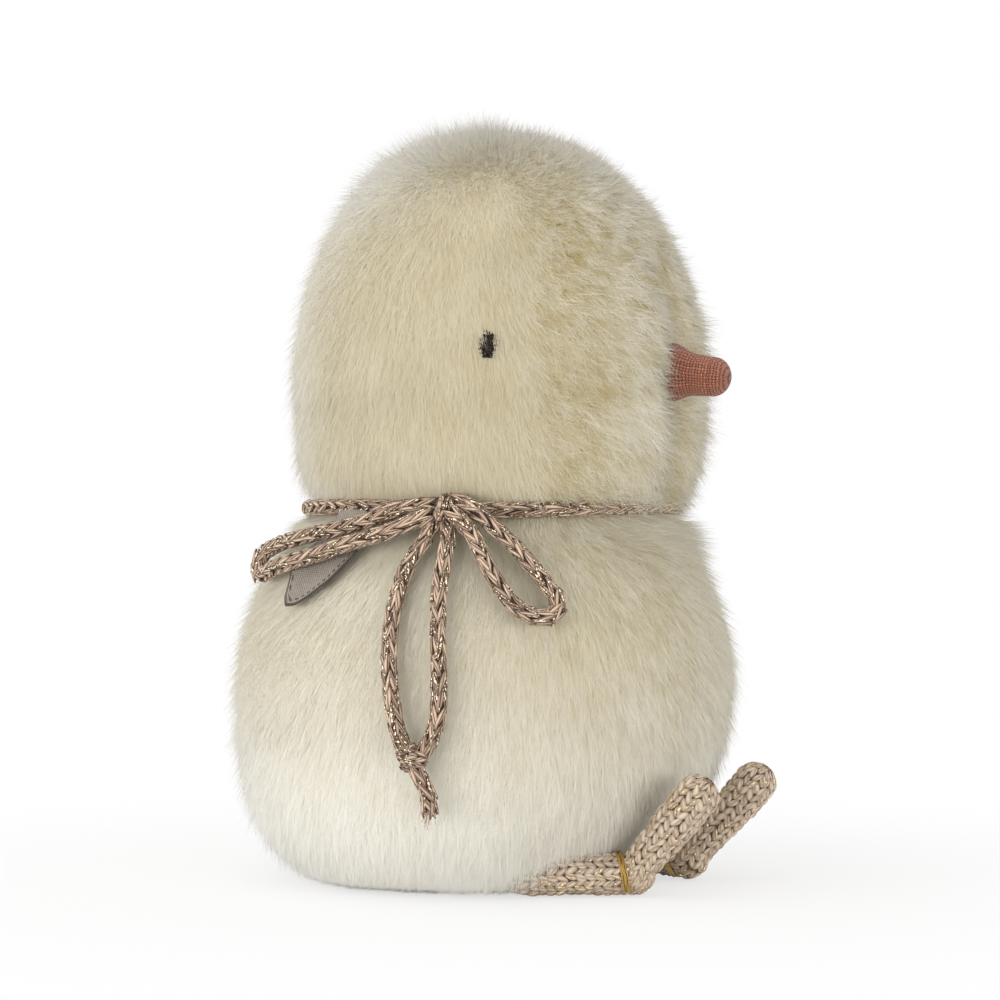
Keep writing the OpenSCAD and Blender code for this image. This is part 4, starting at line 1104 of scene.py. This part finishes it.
def pile_tree():
    tree, bench, given = tree_with("fur_pile", [
        ("Skin", "Geometry"), ("Hair", "Object"), ("Hairs per square metre", "Float"), ("Width", "Float"),
        ("Length", "Float"), ("Bend", "Float"), ("Tuft size", "Float"), ("Seed", "Int"),
        ("Finish", "Material")], "Pile")
    seed, width, bend, tuft_size = (given.of(name) for name in ("Seed", "Width", "Bend", "Tuft size"))
    out, comb, root = (attribute(bench, name, "FLOAT_VECTOR") for name in ("out", "comb", "root"))
    along, tuft = attribute(bench, "along"), attribute(bench, "tuft")

    def toss(step):
        return bench.add("FunctionNodeRandomValue", {"data_type": "FLOAT_VECTOR"}, {
            0: (-1, -1, -1), 1: (1, 1, 1), 8: seed + step}, 0)

    def to_middle(size):
        """The way from a hair's root to the middle of the tuft that it is in."""
        return bench.add("ShaderNodeTexVoronoi", None, {"Vector": root, "Scale": size ** -1.0}, "Position") - root

    def curl(scale):
        return bench.noise(root, scale, 1, 0.5, "Color") - (0.5, 0.5, 0.5)

    density = given.of("Hairs per square metre") * attribute(bench, "cover")
    sown = bench.add("GeometryNodeDistributePointsOnFaces", {"distribute_method": "RANDOM"}, {
        "Mesh": given.of("Skin"), "Density": density, "Seed": seed}, "Points")
    sown = store(bench, sown, "root", bench.add("GeometryNodeInputPosition"), "FLOAT_VECTOR")
    sown = store(bench, sown, "luck", chance(bench, 0.0, 1.0, seed + 5))
    growth = out * attribute(bench, "lift") + comb + toss(1) * attribute(bench, "stray")
    reach = chance(bench, 0.0, 1.0, seed + 3) ** 4.0 * 0.6 + 0.62
    reach = given.of("Length") * attribute(bench, "long") * reach
    size = bench.vector(width * chance(bench, 0.75, 1.25, seed + 4), width, reach)
    real = planted(bench, sown, given.of("Hair"), stood(bench, growth, toss(2) - out), size)

    curve = along * along
    lock, wisp = to_middle(tuft_size), to_middle(tuft_size * WISP)
    droop = comb * bend - out * (bend * 0.35)
    shift = droop * curve + lock * (along * tuft * 0.8) + wisp * (along * tuft * 0.4)
    shift = shift + curl(CURL_FINE) * (curve * (tuft * 0.005 + 0.0004)) + curl(CURL_BROAD) * (curve * 0.002)
    bent = bench.add("GeometryNodeSetPosition", None, {"Geometry": real, "Offset": shift})
    spot = bench.add("GeometryNodeInputPosition")
    above = bench.vector(spot.part("X"), spot.part("Y"), spot.part("Z").most(LOWEST))
    bent = bench.add("GeometryNodeSetPosition", None, {"Geometry": bent, "Position": above})

    patch = bench.noise(root, PATCHES, 2, 0.6)
    tone = attribute(bench, "tone") + (attribute(bench, "luck") - 0.5) * 0.14 + (patch - 0.5) * 0.24
    # Painted shade: hairs far from their tuft's middle are darker, so the gaps between tufts look shaded.
    tone = (tone + (0.38 - lock.length() / tuft_size) * tuft * 1.5).most(0.03).least(0.97)
    lay = bench.vector(tone + attribute(bench, "side") * 0.006, along * 0.94 + 0.03, 0.0)
    end_tree(bench, store(bench, bent, "OFBake", lay, "FLOAT2", "CORNER"), given.of("Finish"))
    return tree


PILE_TREE = pile_tree()
print("pile tree:", len(PILE_TREE.nodes), "nodes")

# %% [markdown]
# The hair's colour runs from a honey root to a cream tip, and a hair's tone makes it a little darker or paler
# as a whole. A little sheen stands for the light that scatters at grazing angles in real pile.

# %% Hair finish


def hair_recipe(bench):
    tone, along = bench.map_of("OFBake")
    root = bench.mix(tone, (0.42, 0.30, 0.085), (0.90, 0.84, 0.66))
    tip = bench.mix(tone, (0.47, 0.38, 0.165), (0.96, 0.945, 0.89))
    return {"Base Color": bench.mix(bench.ramp(along, 0.05, 0.7), root, tip), "Roughness": 0.62 + along * 0.12,
            "Sheen Weight": 0.3, "Sheen Roughness": 0.4, "Specular IOR Level": 0.25}


HAIR_FINISH = finish_of("cream_hair", hair_recipe)
print("finish:", HAIR_FINISH.name)

# %% [markdown]
# The pile is sown in quarters round the head and the body, so that no piece has too many triangles.
# Each quarter's hairs keep the normals of the skin they stand on, a little mixed with their own,
# because light in real pile doesn't stop at one hair. For the same reason they cast no shadows.

# %% Sow the pile
HAIRS = 14.0
HAIR_WIDE, HAIR_LONG, HAIR_BEND, TUFT = 0.15, 6.4, 0.9, 1.5
OWN_NORMAL = 0.05
QUARTERS = ("left_back", "right_back", "right_front", "left_front")
SOWING_MARKS = (*HEAD_TRAITS, "out", "root", "luck", "along", "side")
HEAD_FUR_LOW, BODY_FUR_HIGH = 71.6, 69.4


def pile_host(name, piece, traits, keep):
    """The kept faces of a skin, with the traits on their points."""
    p, n = skin_points(piece)
    faces = [tuple(f.vertices) for f, k in zip(piece.data.polygons, keep) if k]
    mesh = bpy.data.meshes.new(name)
    mesh.from_pydata([tuple(x) for x in p * MM], [], faces)
    for label, value in {**traits, "out": n}.items():
        note(mesh, label, value)
    return new_object(name, mesh)


def soften(mesh):
    """Normals that lean to the skin's own. The marks that only the sowing needs are taken off."""
    count = len(mesh.vertices)
    skin, hair = np.zeros(count * 3, np.float32), np.zeros(count * 3, np.float32)
    mesh.attributes["out"].data.foreach_get("vector", skin)
    mesh.vertices.foreach_get("normal", hair)
    mixed = unit(skin.reshape(-1, 3) * (1 - OWN_NORMAL) + hair.reshape(-1, 3) * OWN_NORMAL)
    for name in [a.name for a in mesh.attributes if a.name in SOWING_MARKS]:
        mesh.attributes.remove(mesh.attributes[name])
    mesh.normals_split_custom_set_from_vertices([tuple(v) for v in mixed])


def sown_pile(name, piece, traits, keep, hairs, seed):
    mesh = run_tree(pile_host(name + "_host", piece, traits, keep), PILE_TREE, {
        "Hair": HAIR, "Hairs per square metre": hairs / MM**2, "Width": HAIR_WIDE * MM, "Length": HAIR_LONG * MM,
        "Bend": HAIR_BEND * MM, "Tuft size": TUFT * MM, "Seed": seed, "Finish": HAIR_FINISH}, name)
    soften(mesh)
    made = new_object(name, mesh)
    made.visible_shadow = False
    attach(made, "chick")
    return made


for kind, piece, traits, axis_y, share, seed in (("head", plush_head, HEAD_TRAITS, HEAD_Y, 1.0, 40),
                                                 ("body", plush_body, BODY_TRAITS, BODY_Y, 0.92, 43)):
    middles = np.array([f.center for f in piece.data.polygons]) / MM
    outer = np.array([min(f.vertices) for f in piece.data.polygons]) >= len(hollow) * ROUND
    furred = middles[:, 2] > HEAD_FUR_LOW if kind == "head" else outer & (middles[:, 2] < BODY_FUR_HIGH)
    turns = np.degrees(np.arctan2(middles[:, 1] - axis_y, middles[:, 0])) % 360
    quarter = np.floor(turns / 90).astype(int)
    for q, label in enumerate(QUARTERS):
        made = sown_pile(f"fur_{kind}_{label}", piece, traits, furred & (quarter == q), HAIRS * share, seed + 7 * q)
        print(made.name, len(made.data.polygons) // 3, "hairs")
bpy.data.objects.remove(HAIR)

# %% [markdown]
# The beak is a small stuffed tab of plain-woven terracotta linen, with a seam along each side where its halves meet.
# Its mesh is a ring stack along the beak's own axis, and the weave is drawn on a map measured in threads.

# %% Beak
BEAK_AXIS = np.array((0.0, -0.9945, -0.1045))
BEAK_UP = np.array((0.0, -0.1045, 0.9945))
BEAK_LEN, BEAK_SUNK, BEAK_TIP = 11.3, -3.5, 3.2
THREAD, CLOTH_R = 0.56, 3.9


def beak_radius(s):
    flare = 4.0 + 1.6 * (1 - ease(-0.5, 4.5, s))
    tip = np.sqrt(np.clip(1 - (np.maximum(s - (BEAK_LEN - BEAK_TIP), 0) / BEAK_TIP) ** 2, 0, 1))
    return flare * tip - 0.12 - 0.25 * ease(3, 9, s) * tip


def beak_mesh():
    """Rings with a low ridge along each seam and a dip beside it, and a map counted in threads."""
    stations = np.concatenate([np.linspace(BEAK_SUNK, 7.5, 24), np.linspace(8.0, 11.0, 9), [11.2]])
    wheel = np.linspace(0, 2 * np.pi, 56, endpoint=False)
    aside = np.abs(np.cos(wheel))
    seam = 1 + 0.045 * np.exp(-((aside - 1) / 0.012) ** 2) - 0.05 * np.exp(-((aside - 0.955) / 0.03) ** 2)
    points, lay = [], []
    for s in stations:
        r = float(beak_radius(np.array(s)))
        for a, k in zip(wheel, seam):
            points.append(BEAK_ROOT + BEAK_AXIS * s + RIGHT * r * k * 0.98 * math.cos(a) + BEAK_UP * r * math.sin(a))
            lay.append((a * CLOTH_R / THREAD, s / THREAD))
    low, high = len(points), len(points) + 1
    points += [BEAK_ROOT + BEAK_AXIS * BEAK_SUNK, BEAK_ROOT + BEAK_AXIS * (BEAK_LEN - 0.12)]
    lay += [(0, BEAK_SUNK / THREAD), (0, BEAK_LEN / THREAD)]
    mesh = mesh_of("linen_beak", points, ring_faces(len(stations), len(wheel), low, high))
    threads = mesh.uv_layers.new(name="threads")
    for face in mesh.polygons:
        wide = max(lay[v][0] for v in face.vertices) > 1.5 * math.pi * CLOTH_R / THREAD
        for v, loop in zip(face.vertices, face.loop_indices):
            u, w = lay[v]
            over = wide and u < 0.5 * math.pi * CLOTH_R / THREAD
            threads.data[loop].uv = (u + 2 * math.pi * CLOTH_R / THREAD if over else u, w)
    return mesh


def linen_recipe(bench):
    def slub(number):
        return bench.add("ShaderNodeTexWhiteNoise", {"noise_dimensions": "1D"}, {"W": number}, "Value")

    u, v = bench.map_of("threads")
    place = bench.place()
    u = u + (bench.noise(place, 380, 2) - 0.5) * 1.3
    v = v + (bench.noise(place, 430, 2) - 0.5) * 1.3
    warp, weft = (u * math.pi).sine(), (v * math.pi).sine()
    over = (warp * weft) > 0
    height = over * abs(warp) + (1 - over) * abs(weft)
    thread = over * slub(u.floor()) + (1 - over) * slub(v.floor() + 40.5)
    drift = bench.noise(place, 500, 3, 0.6)
    # Each thread's own tone and a slow drift are the linen's colour; the height term paints each thread paler at its
    # crown.
    shade = (thread * 0.5 + height * 0.35 + drift * 0.35 - 0.15).held()
    colour = bench.mix(shade, (0.15, 0.045, 0.025), (0.62, 0.225, 0.125))
    # Painted shade in the holes of the weave, where the threads dip.
    colour = bench.mix(((1 - height) ** 1.5 * 1.7).held(), colour, (0.05, 0.013, 0.007))
    # Painted shadow of the fur, darkest at the beak's root and gone towards the tip.
    colour = bench.mix((0.75 - v * (THREAD / 5)).held() * 0.7, colour, (0.07, 0.022, 0.014))
    return {"Base Color": colour, "Roughness": 0.88 - height * 0.14,
            "Normal": bench.bump(height * (0.7 + thread * 0.3), 0.00016, 0.9),
            "Sheen Weight": 0.15, "Sheen Roughness": 0.5}


beak = new_object("linen_beak", beak_mesh())
beak.data.materials.append(finish_of("terracotta_linen", linen_recipe))
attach(beak, "chick")
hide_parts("beak")
print("beak:", len(beak.data.polygons), "faces")

# %% [markdown]
# Each eye is a few turns of black embroidery thread, sewn as a small upright knot that the fur half veils.
# Short arcs of thread cross one another on the skin, each bulging outward over the ones below.

# %% Eyes
SIDES = (("right", False), ("left", True))
EYE_OUT, EYE_SIDE = np.array((-0.927, -0.375, 0.0)), np.array((0.375, -0.927, 0.0))
EYE_SUNK, EYE_ARCS, EYE_UNDER = 1.7, 15, 8


def mirrored(points, mirror):
    return points * (-1, 1, 1) if mirror else points


def thread_recipe(bench):
    fuzz = bench.noise(bench.place(), 2600, 3, 0.7)
    return {"Base Color": bench.mix(fuzz, (0.006, 0.0045, 0.0035), (0.035, 0.024, 0.017)),
            "Roughness": 0.82 - fuzz * 0.12, "Normal": bench.bump(fuzz, 0.0001, 0.7), "Specular IOR Level": 0.15}


def eye_strands():
    """Eight arcs that lie nearly level, and seven thinner ones that lean more and pass over them."""
    dice = np.random.default_rng(5)
    centre = EYES[0] - EYE_OUT * EYE_SUNK
    strands = []
    for k in range(EYE_ARCS):
        over = k >= EYE_UNDER
        z = -2.0 + 4.0 * (k % EYE_UNDER) / (EYE_UNDER - 1) + dice.uniform(-0.25, 0.25)
        lean = dice.uniform(-1.6, 1.6) if over else dice.uniform(-0.7, 0.7)
        half = (1.25 if over else 1.5) * math.sqrt(max(0.25, 1 - (z / 2.6) ** 2)) * dice.uniform(0.85, 1.15)
        crown = 0.95 + (0.5 if over else 0.0) + dice.uniform(-0.7, 0.4)
        line = [centre + EYE_SIDE * (half * t + 0.25 * z * 0.3) + UP * (z + lean * 0.5 * t)
                + EYE_OUT * (crown * (1 - t * t) - 0.9 * t * t) for t in np.linspace(-1, 1, 9)]
        strands.append((smooth_route(line, 0.3), 0.25 if over else 0.3, 7))
    return strands


EYE_THREAD = finish_of("black_thread", thread_recipe)
points, faces = bundle(eye_strands())
for side, mirror in SIDES:
    name, node = "thread_eye_" + side, side + "_eye"
    eye = new_object(name, mesh_of(name, mirrored(points, mirror), faces))
    eye.data.materials.append(EYE_THREAD)
    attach(eye, "chick")
    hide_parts(node)
    print(name, len(eye.data.polygons), "faces")

# %% [markdown]
# A leg and its foot are one knitted tube with a filling. It leaves the body under the belly, runs forward
# on the floor and turns up at the ankle, where a gold thread is sewn through. The foot may be bent at that stitch,
# so the knit follows the chick behind it and the foot in front of it, and turns smoothly between.

# %% Knitted legs
# The leg yarn's gap colour is painted shade in its grooves.
LEG_YARN = finish_of("leg_yarn", yarn_recipe(
    pale=(0.72, 0.585, 0.45), deep=(0.45, 0.34, 0.24), gap_shade=(0.09, 0.052, 0.03), gold=(0.90, 0.70, 0.38),
    gold_share=0.2, strands=3, furrow=0.42))
# The filling is coloured darker than the yarn, as painted shade in the holes between stitches.
LEG_CORE_SHADE = finish_of("leg_core_shade", core_recipe((0.17, 0.105, 0.065), (0.3, 0.2, 0.13)))
HIP, ANKLE = np.array((-24.0, -20.0, 3.8)), np.array((-13.5, -39.0, 3.8))
FOOT_WAY = np.array((-0.0699, -0.665, 0.743))
LEG_WAY = unit(ANKLE - HIP)
FOOT_LEN, LEG_R, TOE_R, INSTEP_R = 23.4, 3.7, 3.9, 3.3
LEG_COLUMNS, LEG_ROW = 9, 1.72


def leg_line():
    """The tube's middle line, with the girth of the solid at each point."""
    tuck = [HIP + (2.2, 3.0, 1.5), HIP + (0.9, 1.0, 0.6)]
    leg = tuck + [HIP + LEG_WAY * d for d in np.linspace(2.0, np.linalg.norm(ANKLE - HIP) + 0.6, 8)]
    foot = [ANKLE + FOOT_WAY * d for d in np.linspace(2.2, FOOT_LEN - 0.25, 14)]
    path = smooth_route(leg + foot, 0.35)
    ahead = (path - ANKLE) @ FOOT_WAY
    behind = (path - ANKLE) @ LEG_WAY
    on_foot = ease(-0.5, 2.5, ahead - np.maximum(-behind, 0))
    girth = LEG_R * (1 - on_foot) + on_foot * (INSTEP_R + (TOE_R - INSTEP_R) * ease(1, 16, ahead))
    girth = girth * (0.72 + 0.28 * ease(-25, -19, behind))
    bulb = np.maximum(ahead - (FOOT_LEN - TOE_R), 0) / TOE_R
    return path, girth * np.sqrt(np.clip(1 - bulb**2.2, 0.02, 1))


line, girth = leg_line()
for side, mirror in SIDES:
    leg = knitted("knit_leg_" + side, mirrored(line, mirror), np.maximum(girth - 0.34, 0.2),
                  np.maximum(girth - 0.62, 0.15), LEG_COLUMNS, LEG_ROW, (LEG_YARN, LEG_CORE_SHADE),
                  lean=0.5, wander=0.3, seed=31 if mirror else 37, around=18)
    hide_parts(side + "_leg", side + "_foot")
    before, after = mirrored(ANKLE - LEG_WAY * 2.0, mirror) * MM, mirrored(ANKLE + FOOT_WAY * 2.5, mirror) * MM
    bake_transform(leg, "chick", side + "_foot", start=tuple(before), end=tuple(after))
    print(leg.name, len(leg.data.polygons), "faces")
bpy.data.objects.remove(STITCH)

# %% [markdown]
# The gold stitch is a few strands of metal thread side by side, over the top of the ankle and down both its sides.
# Thin tubes on slightly wavy arcs give their own glints, which a striped band on the knit would not.

# %% Gold ankle threads
GOLD_RING, GOLD_STRANDS = 3.86, 5


def gold_recipe(bench):
    glint = bench.noise(bench.place(), 1700, 2, 0.6)
    return {"Base Color": bench.mix(glint, (0.28, 0.16, 0.03), (0.62, 0.41, 0.12)), "Metallic": 0.35 + glint * 0.4,
            "Roughness": 0.5 - glint * 0.15, "Normal": bench.bump(glint, 0.00008, 0.6)}


def ankle_strands():
    centre = ANKLE - LEG_WAY * 1.9
    side = unit(np.cross(LEG_WAY, UP))
    around = np.linspace(np.radians(-90 + 40), np.radians(270 - 40), 64)
    out = np.cos(around)[:, None] * side + np.sin(around)[:, None] * np.cross(side, LEG_WAY)
    strands = []
    for k in range(GOLD_STRANDS):
        drift = (k - 2) * 0.24 + 0.12 * np.sin(around * 2 + 1.7 * k)
        ring = GOLD_RING + 0.16 * np.cos(around * 5 + 2.1 * k) ** 2
        path = centre + out * ring[:, None] + LEG_WAY * (drift - 0.9 * np.sin(around))[:, None]
        strands.append((path, 0.15, 6))
    return strands


GOLD = finish_of("gold_thread", gold_recipe)
points, faces = bundle(ankle_strands())
for side, mirror in SIDES:
    name, node = "gold_stitch_" + side, side + "_ankle_stitch"
    stitch = new_object(name, mesh_of(name, mirrored(points, mirror), faces))
    stitch.data.materials.append(GOLD)
    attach(stitch, "chick")
    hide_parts(node)
    print(name, len(stitch.data.polygons), "faces")

# %% [markdown]
# The motor is plain clockwork: moulded plastic base, cover, cranks and hop feet, brass wheels and pinions,
# steel plates, arbors, screws and key, and a blued spring. Its solids are already right, so they keep
# their own meshes and get finishes with grain, brushing and wear.

# %% Motor finishes
BRUSHED = (1.0, 1.0, 14.0)


def plastic(name, colour, dark):
    def recipe(bench):
        place = bench.place()
        cloud = bench.noise(place, 90, 3, 0.6)
        grain = bench.noise(place, 2400, 2, 0.6)
        return {"Base Color": bench.mix(cloud * 0.8, colour, dark), "Roughness": 0.5 + grain * 0.14,
                "Normal": bench.bump(grain, 0.00003, 0.5)}
    return finish_of(name, recipe)


def metal(name, bright, worn, rough):
    def recipe(bench):
        place = bench.place()
        stretched = bench.add("ShaderNodeMapping", None, {"Vector": place, "Scale": BRUSHED})
        lines = bench.noise(stretched, 420, 3, 0.65)
        cloud = bench.noise(place, 160, 3, 0.6)
        return {"Base Color": bench.mix((cloud * 1.3 - 0.3).held(), bright, worn), "Metallic": 0.96 - cloud * 0.06,
                "Roughness": rough + lines * 0.18, "Normal": bench.bump(lines, 0.00002, 0.6)}
    return finish_of(name, recipe)


MOTOR = (
    (plastic("cream_plastic", (0.70, 0.62, 0.46), (0.62, 0.53, 0.38)), ("base_plate",)),
    (plastic("grey_plastic", (0.42, 0.40, 0.36), (0.34, 0.32, 0.29)), ("motor_cover",)),
    (plastic("ivory_plastic", (0.70, 0.60, 0.36), (0.60, 0.49, 0.27)), ("front_cranks", "rear_cranks")),
    (plastic("orange_plastic", (0.62, 0.25, 0.055), (0.5, 0.18, 0.035)), ("right_hop_foot", "left_hop_foot")),
    (metal("plain_steel", (0.46, 0.45, 0.44), (0.3, 0.29, 0.28), 0.28), (
        "base_screws", "motor_plate_right", "motor_plate_left", "frame_pillars", "frame_screws", "winding_arbor",
        "winding_key", "ratchet_wheel", "click", "second_arbor", "front_crank_arbor", "rear_crank_arbor")),
    (metal("plain_brass", (0.78, 0.58, 0.24), (0.55, 0.37, 0.13), 0.24), (
        "key_eyelet", "great_wheel", "second_pinion", "second_wheel", "front_crank_pinion", "front_pin_caps",
        "rear_crank_pinion", "rear_pin_caps")),
    (metal("blued_steel", (0.09, 0.11, 0.17), (0.16, 0.13, 0.12), 0.28), ("mainspring",)),
)
for finish, nodes in MOTOR:
    for node in nodes:
        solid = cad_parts[node]
        solid.data.materials.clear()
        solid.data.materials.append(finish)
finished = [node for _, nodes in MOTOR for node in nodes]
bare = sorted(n for n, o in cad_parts.items() if not o.hide_render and n not in finished)
print("motor solids finished:", len(finished), "left bare:", bare)
